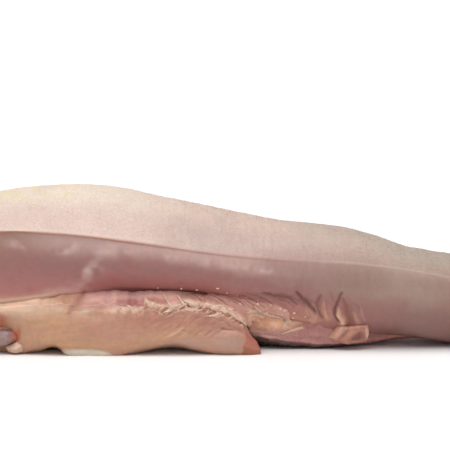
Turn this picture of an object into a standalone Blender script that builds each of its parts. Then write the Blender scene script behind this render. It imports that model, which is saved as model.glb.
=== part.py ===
"""A whole raw beef tongue, lying on its underside with the cut root at -X and the tip at +X.

The tongue is one solid. The muscle in its skin, the trimmings on both sides of the root, the keel of muscle
under the middle and the torn frenulum at the keel's end are lofted one by one, fused, and cut flat where the
tongue rests. Sizes are in millimetres. x runs along the tongue from the cut face of the root, the height is
above the surface that it rests on, and a half width is measured out from the middle. The mesh is made in
metres.
"""

import math

import bmesh
import bpy
import numpy as np
from mathutils import Vector, noise

MM = 0.001

# Driving dimensions
TIP_X = 378.0  # from the root's cut face to the tip
TIP_HEIGHT = 11.0  # the middle of the tip, where it closes
TIP_ROUNDING = 62.0  # the length over which the blade closes to the tip
LAST_EVEN_X = 346.0  # from here the sections lie closer and closer towards the tip
CUT_SLANT = 0.12  # how far the root's cut leans back, for each millimetre of height
CUT_MIDDLE_HEIGHT = 45.0
CUT_UNEVENNESS, CUT_PITCH = 2.6, 17.0  # of the cut muscle, and how large its unevenness is across
CUT_DISH = 1.6  # the cut muscle lies this far behind the rim of skin
OVERSHOOT = 9.0  # the root is made this much too long, and then cut
SOLE_DEPTH = 1.6  # the underside is pressed this far into the surface, and cut flat there

NEAR, FAR = -1, 1  # the side that faces -Y, and the other

# The tongue in its skin: (x, millimetres)
CREST = (
    (0, 83), (18, 88), (36, 91), (58, 94), (81, 95.2), (106, 93.7), (131, 88.7), (156, 83.2), (181, 78),
    (206, 73.4), (231, 71), (251, 67.3), (266, 62.1), (281, 56.4), (296, 53.3), (316, 50.2), (330, 46.5),
    (345, 41), (360, 34), (378, 27),
)
RIDGE_HALF_WIDTH = (
    (0, 37), (36, 40.5), (60, 41.5), (106, 40.5), (156, 37.5), (206, 35), (251, 33.5), (296, 34), (378, 31),
)
RIDGE_HEIGHT = (
    (0, 71), (36, 74.5), (81, 72.6), (106, 69.6), (131, 66), (156, 62), (206, 56.4), (251, 53.4), (281, 50.6),
    (316, 43.5), (345, 33), (378, 22),
)
BELLY_HALF_WIDTH = (
    (0, 35.5), (36, 38), (70, 39.8), (106, 41.8), (156, 39.8), (206, 37.2), (251, 35.6), (296, 35.2),
    (378, 32),
)
BELLY_HEIGHT = ((0, 53), (81, 56), (131, 53), (206, 43), (251, 35), (296, 28), (345, 19), (378, 14))
FOLD_HALF_WIDTH = (
    (0, 40), (36, 42.5), (60, 41.5), (81, 36), (106, 33), (156, 32), (206, 28.5), (251, 25), (296, 25),
    (378, 23),
)
FOLD_HEIGHT = (
    (0, 32), (36, 32.5), (81, 37.5), (131, 37.5), (156, 36), (181, 27.5), (206, 20.5), (231, 13.5),
    (251, 10.5), (281, 9.8), (311, 5.5), (345, 3), (378, 3),
)
SOLE_HEIGHT = (
    (0, 20), (206, 14), (251, 8), (281, 4.5), (305, 0.2), (318, -SOLE_DEPTH), (378, -SOLE_DEPTH),
)
DOME_POWER = ((0, 2.1), (131, 2.2), (251, 2.6), (316, 2.6), (378, 2.2))
MIDDLE_SWAY = ((0, 1), (81, 0), (181, -1), (281, 0), (378, 5))  # how far the middle wanders towards +Y
RIDGE_LIP = ((0, 1.6), (110, 1.6), (180, 0.6), (230, 0))  # how far the upper skin stands out over the side
FURROW_DEPTH = ((0, 0), (190, 0), (240, 0.9), (330, 1.3), (366, 0))  # the furrow down the blade's middle
FURROW_HALF_WIDTH = 7.0
SOFTEN_FROM, SOFTEN_OVER = 240.0, 60.0  # the section's corners soften along the blade
DENT_X, DENT_HEIGHT = 302.0, 25.0  # the soft hollow in the blade's side
DENT_REACH, DENT_DEPTH = (7.0, 13.0), 1.4

# Where the points of a section lie: over the back, down the side, and under to the middle
BACK_SHARES = tuple(k / 8 for k in range(8))
SIDE_SHARES = (0.04, 0.15, 0.28, 0.42, 0.56, 0.7, 0.84, 1.0)
SOLE_SHARES = (0.8, 0.55, 0.28, 0.0)

# The trimmings beside the root, and the flap that each ends in
TRIM_END = {NEAR: 192.5, FAR: 176.0}
TRIM_LIP_HALF_WIDTH = ((0, 39.5), (36, 42.4), (60, 43), (131, 41.5), (156, 41), (172, 40.5), (192.5, 38))
TRIM_LIP_HEIGHT = (
    (0, 29), (36, 30.5), (60, 31.8), (106, 32.2), (131, 31.8), (156, 30), (171, 27.5), (178, 23.6),
    (183, 18.2), (185.5, 12.6), (190, 7), (192.5, 3),
)
TRIM_BULGE_HALF_WIDTH = (
    (0, 37), (26, 38.2), (37, 38.8), (44, 40.8), (50, 44.8), (58, 46.4), (81, 47.5), (131, 47.5), (156, 46),
    (175, 45), (186, 43.5), (192.5, 40.5),
)
TRIM_INNER_HALF_WIDTH = ((0, -3), (120, -2), (140, 6), (156, 14), (170, 22), (182, 28.5), (192.5, 34))
TRIM_TOP_HEIGHT = 40.0
LEDGE_HALF_WIDTH, LEDGE_HEIGHT = 29.5, 37.6  # where the ledge comes out from under the tongue
TORN_DEPTH, TORN_FROM = 4.2, 90.0  # how ragged the torn lip is, from this far along
TRIM_STEPS = (1, 3, 2, 4, 3, 2, 2, 1)  # the points between the corners of a section, most where it shows
FLAP_TURNS = (135, 110, 62, 45, 2, -40, -75, -128)  # where a section's corners lie round the flap, in degrees
FLAP_BLEND = (148.0, 172.0)  # the ledge's section turns into the flap's over this run
# The underside arches up twice: how high its outer edge is, and how far out it still rests
TRIM_FOOT_LIFT = (
    (0, 3), (36, 4), (46, 2.2), (60, 4.4), (71, 5.6), (76, 1.5), (104, 1.4), (122, 4.5), (136, 7), (152, 5.5),
    (168, 2.4), (192.5, 2),
)
TRIM_SOLE_HALF_WIDTH = (
    (0, 28), (36, 28), (46, 33), (58, 22), (71, 15), (78, 36.5), (104, 38), (120, 26), (136, 14), (150, 20),
    (166, 33), (180, 36.5), (192.5, 36.5),
)

# The keel of muscle under the middle, which rises into the blade's underside
KEEL_START, KEEL_END = 118.0, 300.0
KEEL_HALF_WIDTH = ((118, 20), (170, 27), (206, 27.5), (240, 25), (258, 20), (280, 16), (300, 9))
KEEL_TOP_HEIGHT = ((118, 34), (206, 30), (251, 26), (286, 20), (300, 15))
KEEL_SOLE_HEIGHT = ((118, 0), (170, -1), (240, -SOLE_DEPTH), (254, -0.4), (268, 1.6), (300, 3.5))
KEEL_FLARE = ((118, 3), (186, 8), (195, 6.2), (204, 4.8), (225, 3.6), (258, 3))  # how far the underside rises sideways

# The torn frenulum, a thick flap on each side of the keel's end
FLAP_START, FLAP_END = 232.0, 257.5
FLAP_LOW = ((232, 8.4), (240, 6.2), (250, 5.2), (257.5, 6.6))
FLAP_HIGH = ((232, 10.5), (240, 16), (250, 18), (257.5, 19.2))
FLAP_OUT = ((232, 26.5), (240, 30.5), (250, 31), (257.5, 29.5))
FLAP_IN = 14.0

# The skin gathers into folds that fan out from where the frenulum holds it: an angle from upright, negative
# towards the root, then how far from the fan's middle the fold starts and ends, and its half width
FAN_X, FAN_HEIGHT = 237.0, 3.0
FAN_FOLDS = (
    (-64, 42, 76, 1.6), (-58, 31, 63, 1.8), (-50, 25, 51, 2.0), (-39, 19, 42, 2.3), (-27, 17, 37, 2.5),
    (-14, 14, 33, 2.5), (-3, 13, 32, 2.3), (9, 12, 30, 2.6), (22, 12, 30, 2.7), (37, 13, 27, 2.3),
)
FOLD_STAND = 1.0  # how far a fold stands out, as a share of its half width
FOLD_BOW = 2.0  # how far a fold bends sideways along its length

# The vein in its sheath, and the knob of fat under it, at the root's near corner
VEIN_MIDDLE, VEIN_SIZE = (34.6, -38.8, 10.6), (13.2, 6.6, 6.2)
FAT_KNOB_MIDDLE, FAT_KNOB_SIZE = (47.2, -39.8, 4.5), (7.4, 6.0, 4.3)


def along(keys):
    """A smooth function of x through (x, value) pairs, level at both ends."""
    xs = np.array([k[0] for k in keys], float)
    values = np.array([k[1] for k in keys], float)
    slopes = np.gradient(values, xs)
    slopes[0] = slopes[-1] = 0.0

    def value_at(x):
        x = np.clip(x, xs[0], xs[-1])
        i = np.clip(np.searchsorted(xs, x) - 1, 0, len(xs) - 2)
        step = xs[i + 1] - xs[i]
        t = (x - xs[i]) / step
        return (
            values[i] * (1 + 2 * t) * (1 - t) ** 2
            + slopes[i] * step * t * (1 - t) ** 2
            + values[i + 1] * t * t * (3 - 2 * t)
            + slopes[i + 1] * step * t * t * (t - 1)
        )

    return value_at


crest, ridge_half_width, ridge_height = along(CREST), along(RIDGE_HALF_WIDTH), along(RIDGE_HEIGHT)
belly_half_width, belly_height = along(BELLY_HALF_WIDTH), along(BELLY_HEIGHT)
fold_half_width, fold_height, sole_height = along(FOLD_HALF_WIDTH), along(FOLD_HEIGHT), along(SOLE_HEIGHT)
dome_power, middle_sway, ridge_lip = along(DOME_POWER), along(MIDDLE_SWAY), along(RIDGE_LIP)
trim_lip_half_width, trim_lip_height = along(TRIM_LIP_HALF_WIDTH), along(TRIM_LIP_HEIGHT)
trim_bulge_half_width, trim_inner_half_width = along(TRIM_BULGE_HALF_WIDTH), along(TRIM_INNER_HALF_WIDTH)
trim_foot_lift, trim_sole_half_width = along(TRIM_FOOT_LIFT), along(TRIM_SOLE_HALF_WIDTH)
keel_half_width, keel_top_height = along(KEEL_HALF_WIDTH), along(KEEL_TOP_HEIGHT)
keel_sole_height, keel_flare, furrow_depth = along(KEEL_SOLE_HEIGHT), along(KEEL_FLARE), along(FURROW_DEPTH)
flap_low, flap_high, flap_out = along(FLAP_LOW), along(FLAP_HIGH), along(FLAP_OUT)


def lumps(x, y, z, pitch, seed):
    """Soft unevenness between about -1 and 1, with lumps about pitch across."""
    return noise.noise(Vector((x / pitch + seed, y / pitch, z / pitch)))


def tip_share(x):
    """How much of its full section the blade still has at x: 1 along the blade, and 0 at the tip."""
    t = np.clip((x - (TIP_X - TIP_ROUNDING)) / TIP_ROUNDING, 0, 1)
    return (1 - t**2.3) ** (1 / 2.3)


def dent(x, height):
    """How far the blade's side is hollowed at a point."""
    across, up = (x - DENT_X) / DENT_REACH[0], (height - DENT_HEIGHT) / DENT_REACH[1]
    return DENT_DEPTH * math.exp(-across * across - up * up)


def round_corners(points, passes):
    """A closed ring of points with its corners softened by repeated averaging."""
    for _ in range(passes):
        points = 0.5 * points + 0.25 * (np.roll(points, 1, axis=0) + np.roll(points, -1, axis=0))
    return points


def skin_side(x):
    """Half of the tongue's section at x, from the crest down one side to the middle of the sole."""
    share = tip_share(x)
    high, sole = crest(x), sole_height(x)
    ridge_w, ridge_h = ridge_half_width(x), ridge_height(x)
    belly_w, belly_h = belly_half_width(x), belly_height(x)
    fold_w, fold_h = fold_half_width(x), fold_height(x)
    points = []
    for q in BACK_SHARES:
        furrow = furrow_depth(x) * math.exp(-((ridge_w * q / FURROW_HALF_WIDTH) ** 2))
        points.append((ridge_w * q, ridge_h + (high - ridge_h) * (1 - q ** dome_power(x)) - furrow))
    points.append((ridge_w + 0.5 * ridge_lip(x), ridge_h))
    at_belly = (ridge_h - belly_h) / (ridge_h - fold_h)
    for v in SIDE_SHARES:
        w = (
            ridge_w * (v - at_belly) * (v - 1) / at_belly
            + belly_w * v * (v - 1) / (at_belly * (at_belly - 1))
            + fold_w * v * (v - at_belly) / (1 - at_belly)
        )
        w -= ridge_lip(x) * math.exp(-v / 0.3)
        h = ridge_h + (fold_h - ridge_h) * v
        points.append((w - dent(x, h), h))
    for q in SOLE_SHARES:
        points.append((fold_w * q, sole + (fold_h - sole) * q**3))
    made = np.array(points)
    made[:, 0] *= share**1.15
    made[:, 1] = TIP_HEIGHT + (made[:, 1] - TIP_HEIGHT) * share**0.8
    return made


def skin_ring(x):
    """The tongue's whole section at x, from the crest round by the near side."""
    half = skin_side(x)
    ring = np.vstack([half * (NEAR, 1), (half * (FAR, 1))[-2:0:-1]])
    share = min(max((x - SOFTEN_FROM) / SOFTEN_OVER, 0), 1)
    ring = ring * (1 - share) + round_corners(ring, 3) * share
    return np.column_stack([np.full(len(ring), x), ring[:, 0] + middle_sway(x), ring[:, 1]])


def side_half_width(x, height):
    """How far out the tongue's side is at a height, or the keel's side where that is further out."""
    first = len(BACK_SHARES) + 1
    half = skin_side(x)[first:first + len(SIDE_SHARES) + 1]
    skin = np.interp(-height, -half[:, 1], half[:, 0])
    return max(skin, keel_half_width(x) - 0.5) if height < fold_height(x) else skin


def smooth_ring(corners, steps):
    """A closed Catmull-Rom curve through the corners, with steps[k] points from corner k to the next."""
    corners = np.array(corners, float)
    n = len(corners)
    points = []
    for i, count in enumerate(steps):
        a, b, c, d = (corners[(i + j) % n] for j in (-1, 0, 1, 2))
        square, cube = 2 * a - 5 * b + 4 * c - d, 3 * b - a - 3 * c + d
        for t in np.arange(count) / count:
            points.append(0.5 * (2 * b + (c - a) * t + square * t**2 + cube * t**3))
    return np.array(points)


def rounded_box(inner, outer, low, high, turns, power):
    """A superellipse in a box of half widths and heights, with a point at each turn, in degrees."""
    cosine, sine = np.cos(np.radians(turns)), np.sin(np.radians(turns))
    w = (inner + outer) / 2 + (outer - inner) / 2 * np.sign(cosine) * np.abs(cosine) ** (2 / power)
    h = (low + high) / 2 + (high - low) / 2 * np.sign(sine) * np.abs(sine) ** (2 / power)
    return np.column_stack([w, h])


def trim_ring(x, side):
    """The section of one side's trimmings: a ledge under the tongue, a torn lip, a fat bulge and a foot."""
    along_flap = x * TRIM_END[NEAR] / TRIM_END[side]
    lip_w, lip_h = trim_lip_half_width(along_flap), trim_lip_height(along_flap)
    bulge_w, inner = trim_bulge_half_width(along_flap), trim_inner_half_width(along_flap)
    foot, sole_w = trim_foot_lift(along_flap), trim_sole_half_width(along_flap)
    sole = -SOLE_DEPTH - (0.4 if side == FAR else 0.0)
    uneven = lumps(x, 0, side, 11, 5) + 0.7 * lumps(x, 0, side, 4.7, 9)
    torn = TORN_DEPTH * uneven * min(x / TORN_FROM, 1) ** 2
    corners = [
        (inner, TRIM_TOP_HEIGHT + side),
        (LEDGE_HALF_WIDTH, LEDGE_HEIGHT + 0.2 * torn),
        (lip_w + 0.3 * torn, lip_h + 0.6 * torn),
        (lip_w + 2.2, lip_h - 3.5),
        (bulge_w, 0.53 * lip_h),
        (bulge_w - 2.5, foot),
        (sole_w, sole),
        (inner + 1, sole),
    ]
    ledge = smooth_ring(corners, TRIM_STEPS)
    lanes = np.concatenate([k + np.arange(count) / count for k, count in enumerate(TRIM_STEPS)])
    turns = np.interp(lanes, range(len(corners) + 1), FLAP_TURNS + (FLAP_TURNS[0] - 360,))
    flap = rounded_box(inner, bulge_w, sole, lip_h, turns, 2.5)
    share = min(max((along_flap - FLAP_BLEND[0]) / (FLAP_BLEND[1] - FLAP_BLEND[0]), 0), 1)
    ring = ledge * (1 - share) + flap * share
    placed = []
    for w, h in ring:
        swell = 1.3 * (1 - share) * lumps(x, 0, h, 16, 21 + side) if w > inner + 4 else 0.0
        placed.append((x, side * (w + swell) + middle_sway(x), h + 0.4 * swell))
    return np.array(placed)


def keel_ring(x):
    """The section of the keel: upright sides and a rounded underside that rests in the middle."""
    w, top, sole = keel_half_width(x), keel_top_height(x), keel_sole_height(x)
    flare = keel_flare(x)
    half = [(0.55 * w, top), (0.95 * w, 0.7 * top + 0.3 * sole), (w, 0.42 * top + 0.58 * sole),
            (0.94 * w, sole + 1.5 * flare), (0.62 * w, sole + 0.62 * flare), (0.22 * w, sole)]
    corners = [(-a, h) for a, h in reversed(half)] + half
    ring = smooth_ring(corners, (2,) * len(corners))
    return np.array([(x, a + 0.9 * lumps(x, a, h, 9, 33) + middle_sway(x), h) for a, h in ring])


def flap_ring(x, side):
    """The section of the torn frenulum: a thick lip that stands out from the keel and droops."""
    low, high, out = flap_low(x), flap_high(x), flap_out(x)
    if side == FAR:
        out, high = out - 2.0, high - 1.5
    ring = rounded_box(FLAP_IN, out, low, high, 135 - 360 * np.arange(14) / 14, 3.0)
    return np.array([(x, side * a + middle_sway(x), h - 0.12 * (a - FLAP_IN)) for a, h in ring])


def lofted(name, rings):
    """A closed mesh object through rings of points in millimetres, both ends closed to a point."""
    mesh = bmesh.new()
    rows = [[mesh.verts.new(Vector(p) * MM) for p in ring] for ring in rings]
    for low, high in zip(rows, rows[1:]):
        for k in range(len(low)):
            j = (k + 1) % len(low)
            mesh.faces.new((low[k], low[j], high[j], high[k]))
    for row in (rows[0], rows[-1]):
        middle = mesh.verts.new(sum((v.co for v in row), Vector()) / len(row))
        for k in range(len(row)):
            mesh.faces.new((row[k], row[(k + 1) % len(row)], middle))
    bmesh.ops.recalc_face_normals(mesh, faces=mesh.faces)
    return made_object(name, mesh)


def made_object(name, mesh):
    """The bmesh as a smooth-shaded object in the scene."""
    data = bpy.data.meshes.new(name)
    mesh.to_mesh(data)
    mesh.free()
    data.shade_smooth()
    made = bpy.data.objects.new(name, data)
    bpy.context.scene.collection.objects.link(made)
    return made


def lump(name, middle, size):
    """An uneven egg shape, with its three half sizes."""
    mesh = bmesh.new()
    bmesh.ops.create_uvsphere(mesh, u_segments=14, v_segments=9, radius=1.0)
    for v in mesh.verts:
        swell = 1 + 0.12 * noise.noise(v.co * 2 + Vector(middle))
        v.co = Vector([m + s * c * swell for m, s, c in zip(middle, size, v.co)]) * MM
    return made_object(name, mesh)


def stations(*runs):
    """The x of every ring, from runs of (start, end, step). The last run's end is included."""
    xs = []
    for start, end, step in runs:
        xs += list(np.linspace(start, end, round((end - start) / step), endpoint=False))
    return xs + [runs[-1][1]]


def tongue_in_skin():
    """The tongue from its cut root to its tip."""
    xs = stations((-OVERSHOOT, 150, 7.0), (150, 262, 5.8), (262, LAST_EVEN_X, 7.0))
    xs += [TIP_X - (TIP_X - LAST_EVEN_X) * (1 - math.sin(math.pi / 2 * k / 8)) for k in range(1, 8)]
    xs += [TIP_X - 0.25]
    return lofted("beef_tongue", [skin_ring(x) for x in xs])


def trimming(name, side):
    """The trimmings of one side, from the cut root to the flap's point."""
    end = TRIM_END[side]
    xs = stations((-OVERSHOOT, 75, 5.4), (75, 150, 4.2), (150, end - 3, 3.4)) + [end - 1.2, end - 0.2]
    rings = [trim_ring(x, side) for x in xs[:-1]]
    point = rings[-1].mean(axis=0)
    rings.append(point + (rings[-1] - point) * 0.5 + (1.0, 0, 0))
    return lofted(name, rings)


def keel():
    """The keel of muscle under the middle of the tongue."""
    xs = stations((KEEL_START, 180, 10.0), (180, KEEL_END, 5.0))
    return lofted("keel", [keel_ring(x) for x in xs])


def frenulum_flap(name, side):
    """The torn frenulum on one side of the keel's end."""
    xs = stations((FLAP_START, FLAP_END, 3.4))
    rings = [flap_ring(x, side) for x in xs]
    first = rings[0].mean(axis=0)
    rings[0] = first + (rings[0] - first) * 0.5
    return lofted(name, rings)


def gathered_fold(name, fold, side):
    """One fold of gathered skin: a tapered ridge that lies half sunk in the tongue's side."""
    angle, start, end, half_width = fold
    outward = np.array([math.sin(math.radians(angle)), math.cos(math.radians(angle))])
    across = np.array([outward[1], -outward[0]])
    rings = []
    for t in np.linspace(0.04, 0.96, 6):
        bow = across * FOLD_BOW * math.sin(2.6 * t)
        x, height = (FAN_X, FAN_HEIGHT) + outward * (start + (end - start) * t) + bow
        width = half_width * math.sin(math.pi * t) ** 0.6 * (1.15 - 0.4 * t)
        middle = np.array([x, side * side_half_width(x, height) + middle_sway(x), height])
        ring = []
        for turn in 2 * math.pi * np.arange(6) / 6:
            flat = width * math.cos(turn) * across
            ring.append(middle + (flat[0], side * FOLD_STAND * width * math.sin(turn), flat[1]))
        rings.append(np.array(ring))
    return lofted(name, rings)


def cut_x(y, height):
    """Where the knife cut the root: it leans back and is uneven, with the muscle behind its rim of skin."""
    across, up = y / 36, (height - CUT_MIDDLE_HEIGHT) / 40
    inside = min(max(3 * (1 - math.hypot(across, up)), 0), 1)
    uneven = lumps(y, height, 0, CUT_PITCH, 3) * (0.3 + 0.7 * inside)
    return CUT_SLANT * (height - CUT_MIDDLE_HEIGHT) + CUT_DISH * inside + CUT_UNEVENNESS * uneven


def as_cutter(name, mesh):
    """The bmesh as an object that only cuts."""
    cutter = made_object(name, mesh)
    cutter.hide_render = True
    cutter.display_type = "WIRE"
    return cutter


def root_cutter():
    """A block whose face towards the tip is the knife's uneven cut."""
    mesh = bmesh.new()
    rows = []
    for height in np.linspace(-8, 102, 16):
        row = [(cut_x(y, height), y, height) for y in np.linspace(-56, 56, 17)]
        rows.append([(-40, -56, height)] + row + [(-40, 56, height)])
    grid = [[mesh.verts.new(Vector(p) * MM) for p in row] for row in rows]
    for low, high in zip(grid, grid[1:]):
        for k in range(len(low)):
            j = (k + 1) % len(low)
            mesh.faces.new((low[k], low[j], high[j], high[k]))
    mesh.faces.new(grid[0])
    mesh.faces.new(grid[-1])
    bmesh.ops.recalc_face_normals(mesh, faces=mesh.faces)
    return as_cutter("root_cut", mesh)


def floor_cutter():
    """A slab whose top is the surface that the tongue rests on."""
    mesh = bmesh.new()
    bmesh.ops.create_cube(mesh, size=1.0)
    for v in mesh.verts:
        v.co = Vector((v.co.x * 0.6 + 0.19, v.co.y * 0.3, (v.co.z - 0.5) * 0.02))
    return as_cutter("resting_surface", mesh)


def boolean(target, name, operation, **operand):
    """One Boolean modifier on the target."""
    modifier = target.modifiers.new(name, "BOOLEAN")
    modifier.operation = operation
    modifier.solver = "EXACT"
    for key, value in operand.items():
        setattr(modifier, key, value)


def apply_modifiers(target):
    """Makes what the modifiers do part of the target's own mesh."""
    graph = bpy.context.evaluated_depsgraph_get()
    data = bpy.data.meshes.new_from_object(target.evaluated_get(graph))
    target.modifiers.clear()
    target.data = data


def fuse(target, others):
    """Joins the others into the target by one Boolean union, and removes them."""
    pieces = bpy.data.collections.new("fused_pieces")
    bpy.context.scene.collection.children.link(pieces)
    for other in others:
        bpy.context.scene.collection.objects.unlink(other)
        pieces.objects.link(other)
    boolean(target, "fuse", "UNION", operand_type="COLLECTION", collection=pieces)
    apply_modifiers(target)
    for other in others:
        bpy.data.objects.remove(other)
    bpy.data.collections.remove(pieces)


def cut_away(target, cutter):
    """Removes from the target what lies inside the cutter, and the cutter with it."""
    boolean(target, cutter.name, "DIFFERENCE", object=cutter)
    apply_modifiers(target)
    bpy.data.objects.remove(cutter)


def centre_on_base(target):
    """Moves the mesh so that the origin is the bottom centre of its box."""
    corners = np.array([v.co for v in target.data.vertices])
    low, high = corners.min(axis=0), corners.max(axis=0)
    shift = Vector((-(low[0] + high[0]) / 2, -(low[1] + high[1]) / 2, -low[2]))
    for v in target.data.vertices:
        v.co += shift


def skin_material():
    """Moist pinkish grey skin."""
    material = bpy.data.materials.new("tongue_skin")
    material.use_nodes = True
    shader = material.node_tree.nodes["Principled BSDF"]
    shader.inputs["Base Color"].default_value = (0.50, 0.32, 0.27, 1)
    shader.inputs["Roughness"].default_value = 0.42
    shader.inputs["Metallic"].default_value = 0.0
    return material


def main():
    for obj in list(bpy.data.objects):
        bpy.data.objects.remove(obj)
    tongue = tongue_in_skin()
    fuse(tongue, [
        trimming("near_trimming", NEAR),
        trimming("far_trimming", FAR),
        keel(),
        frenulum_flap("near_flap", NEAR),
        frenulum_flap("far_flap", FAR),
        lump("vein", VEIN_MIDDLE, VEIN_SIZE),
        lump("fat_knob", FAT_KNOB_MIDDLE, FAT_KNOB_SIZE),
    ])
    fuse(tongue, [gathered_fold("fold", fold, side) for side in (NEAR, FAR) for fold in FAN_FOLDS])
    cut_away(tongue, root_cutter())
    cut_away(tongue, floor_cutter())
    centre_on_base(tongue)
    tongue.data.materials.clear()
    tongue.data.materials.append(skin_material())
    tongue.data.shade_smooth()


main()
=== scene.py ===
"""The looks of a whole raw beef tongue, lying on its underside with the cut root at -X and the tip at +X.

The solid of the frame gives the size and the place. Its parts are made again here as fine surfaces: the
tongue in its skin, the trimmings beside the root with their torn membranes, the keel, the frenulum and the
cut face of the root. Lengths are in millimetres until a mesh is made. x runs along the tongue from the root's
cut face, a height is above the floor, and a half width is measured out from the middle.
"""
import math

import bpy
import numpy as np
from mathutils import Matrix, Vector, noise
from mathutils.bvhtree import BVHTree


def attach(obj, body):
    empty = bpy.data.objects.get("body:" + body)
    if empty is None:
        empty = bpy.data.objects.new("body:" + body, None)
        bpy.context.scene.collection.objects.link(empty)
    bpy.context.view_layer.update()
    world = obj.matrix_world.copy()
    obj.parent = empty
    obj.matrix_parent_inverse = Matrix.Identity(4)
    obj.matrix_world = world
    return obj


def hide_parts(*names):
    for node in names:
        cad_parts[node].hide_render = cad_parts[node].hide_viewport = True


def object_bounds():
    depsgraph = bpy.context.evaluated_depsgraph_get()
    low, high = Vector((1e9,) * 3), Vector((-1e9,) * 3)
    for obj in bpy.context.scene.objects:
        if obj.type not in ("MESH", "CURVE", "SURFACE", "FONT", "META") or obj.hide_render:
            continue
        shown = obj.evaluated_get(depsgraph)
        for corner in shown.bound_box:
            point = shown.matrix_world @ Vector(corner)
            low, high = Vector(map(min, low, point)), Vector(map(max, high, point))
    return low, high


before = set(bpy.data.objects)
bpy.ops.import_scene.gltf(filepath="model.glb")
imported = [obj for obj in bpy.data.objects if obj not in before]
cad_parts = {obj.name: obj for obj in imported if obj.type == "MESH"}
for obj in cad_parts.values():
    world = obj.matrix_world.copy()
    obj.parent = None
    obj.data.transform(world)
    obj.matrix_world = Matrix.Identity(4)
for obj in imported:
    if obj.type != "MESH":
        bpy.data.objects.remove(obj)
solid_low, solid_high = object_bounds()

MM = 0.001
NEAR, FAR = -1, 1  # the side that faces -Y, and the other

# ---------------------------------------------------------------- driving dimensions, those of the solid
TIP_X = 378.0
LAST_X = TIP_X - 0.25  # the last ring before the tip closes
TIP_HEIGHT = 11.0
TIP_ROUNDING = 62.0
LAST_EVEN_X = 346.0
CUT_SLANT = 0.12
CUT_MIDDLE_HEIGHT = 45.0
CUT_UNEVENNESS, CUT_PITCH = 2.6, 17.0
CUT_DISH = 1.6
CUT_FADE = 20.0  # the slant of the cut dies out over this run of the surface behind it
MIDDLE_Y = 0.145  # the middle plane lies this far towards +Y of the middle of the solid's box
SOLE_DEPTH = 1.6

CREST = (
    (0, 83), (18, 88), (36, 91), (58, 94), (81, 95.2), (106, 93.7), (131, 88.7), (156, 83.2), (181, 78),
    (206, 73.4), (231, 71), (251, 67.3), (266, 62.1), (281, 56.4), (296, 53.3), (316, 50.2), (330, 46.5),
    (345, 41), (360, 34), (378, 27),
)
RIDGE_HALF_WIDTH = (
    (0, 37), (36, 40.5), (60, 41.5), (106, 40.5), (156, 37.5), (206, 35), (251, 33.5), (296, 34), (378, 31),
)
RIDGE_HEIGHT = (
    (0, 71), (36, 74.5), (81, 72.6), (106, 69.6), (131, 66), (156, 62), (206, 56.4), (251, 53.4), (281, 50.6),
    (316, 43.5), (345, 33), (378, 22),
)
BELLY_HALF_WIDTH = (
    (0, 35.5), (36, 38), (70, 39.8), (106, 41.8), (156, 39.8), (206, 37.2), (251, 35.6), (296, 35.2),
    (378, 32),
)
BELLY_HEIGHT = ((0, 53), (81, 56), (131, 53), (206, 43), (251, 35), (296, 28), (345, 19), (378, 14))
FOLD_HALF_WIDTH = (
    (0, 40), (36, 42.5), (60, 41.5), (81, 36), (106, 33), (156, 32), (206, 28.5), (251, 25), (296, 25),
    (378, 23),
)
FOLD_HEIGHT = (
    (0, 32), (36, 32.5), (81, 37.5), (131, 37.5), (156, 36), (181, 27.5), (206, 20.5), (231, 13.5),
    (251, 10.5), (281, 9.8), (311, 5.5), (345, 3), (378, 3),
)
SOLE_HEIGHT = (
    (0, 20), (206, 14), (251, 8), (281, 4.5), (305, 0.2), (318, -SOLE_DEPTH), (378, -SOLE_DEPTH),
)
DOME_POWER = ((0, 2.1), (131, 2.2), (251, 2.6), (316, 2.6), (378, 2.2))
MIDDLE_SWAY = ((0, 1), (81, 0), (181, -1), (281, 0), (378, 5))
RIDGE_LIP = ((0, 0.9), (110, 0.9), (180, 0.4), (230, 0))  # less than the solid's, whose facets are wide
FURROW_DEPTH = ((0, 0), (190, 0), (240, 0.9), (330, 1.3), (366, 0))
FURROW_HALF_WIDTH = 7.0
SOFTEN_FROM, SOFTEN_OVER, SOFTEN_REACH = 240.0, 60.0, 5.8
DENT_X, DENT_HEIGHT = 302.0, 25.0
DENT_REACH, DENT_DEPTH = (7.0, 13.0), 1.4

TRIM_END = {NEAR: 192.5, FAR: 176.0}
TRIM_LIP_HALF_WIDTH = ((0, 39.5), (36, 42.4), (60, 43), (131, 41.5), (156, 41), (172, 40.5), (192.5, 38))
TRIM_LIP_HEIGHT = (
    (0, 29), (36, 30.5), (60, 31.8), (106, 32.2), (131, 31.8), (156, 30), (171, 27.5), (178, 23.6),
    (183, 18.2), (185.5, 12.6), (190, 7), (192.5, 3),
)
TRIM_BULGE_HALF_WIDTH = (
    (0, 37), (26, 38.2), (37, 38.8), (44, 40.8), (50, 44.8), (58, 46.4), (81, 47.5), (131, 47.5), (156, 46),
    (175, 45), (186, 43.5), (192.5, 40.5),
)
TRIM_INNER_HALF_WIDTH = ((0, -3), (120, -2), (140, 6), (156, 14), (170, 22), (182, 28.5), (192.5, 34))
TRIM_TOP_HEIGHT = 40.0
LEDGE_HALF_WIDTH, LEDGE_HEIGHT = 29.5, 37.6
TORN_DEPTH, TORN_FROM = 4.2, 90.0
TRIM_STEPS = (4, 22, 22, 34, 34, 18, 8, 4)
FLAP_TURNS = (135, 110, 62, 45, 2, -40, -75, -128)
FLAP_BLEND = (148.0, 172.0)
TRIM_FOOT_LIFT = (
    (0, 3), (36, 4), (46, 2.2), (60, 4.4), (71, 5.6), (76, 1.5), (104, 1.4), (122, 4.5), (136, 7), (152, 5.5),
    (168, 2.4), (192.5, 2),
)
TRIM_SOLE_HALF_WIDTH = (
    (0, 28), (36, 28), (46, 33), (58, 22), (71, 15), (78, 36.5), (104, 38), (120, 26), (136, 14), (150, 20),
    (166, 33), (180, 36.5), (192.5, 36.5),
)

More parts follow.
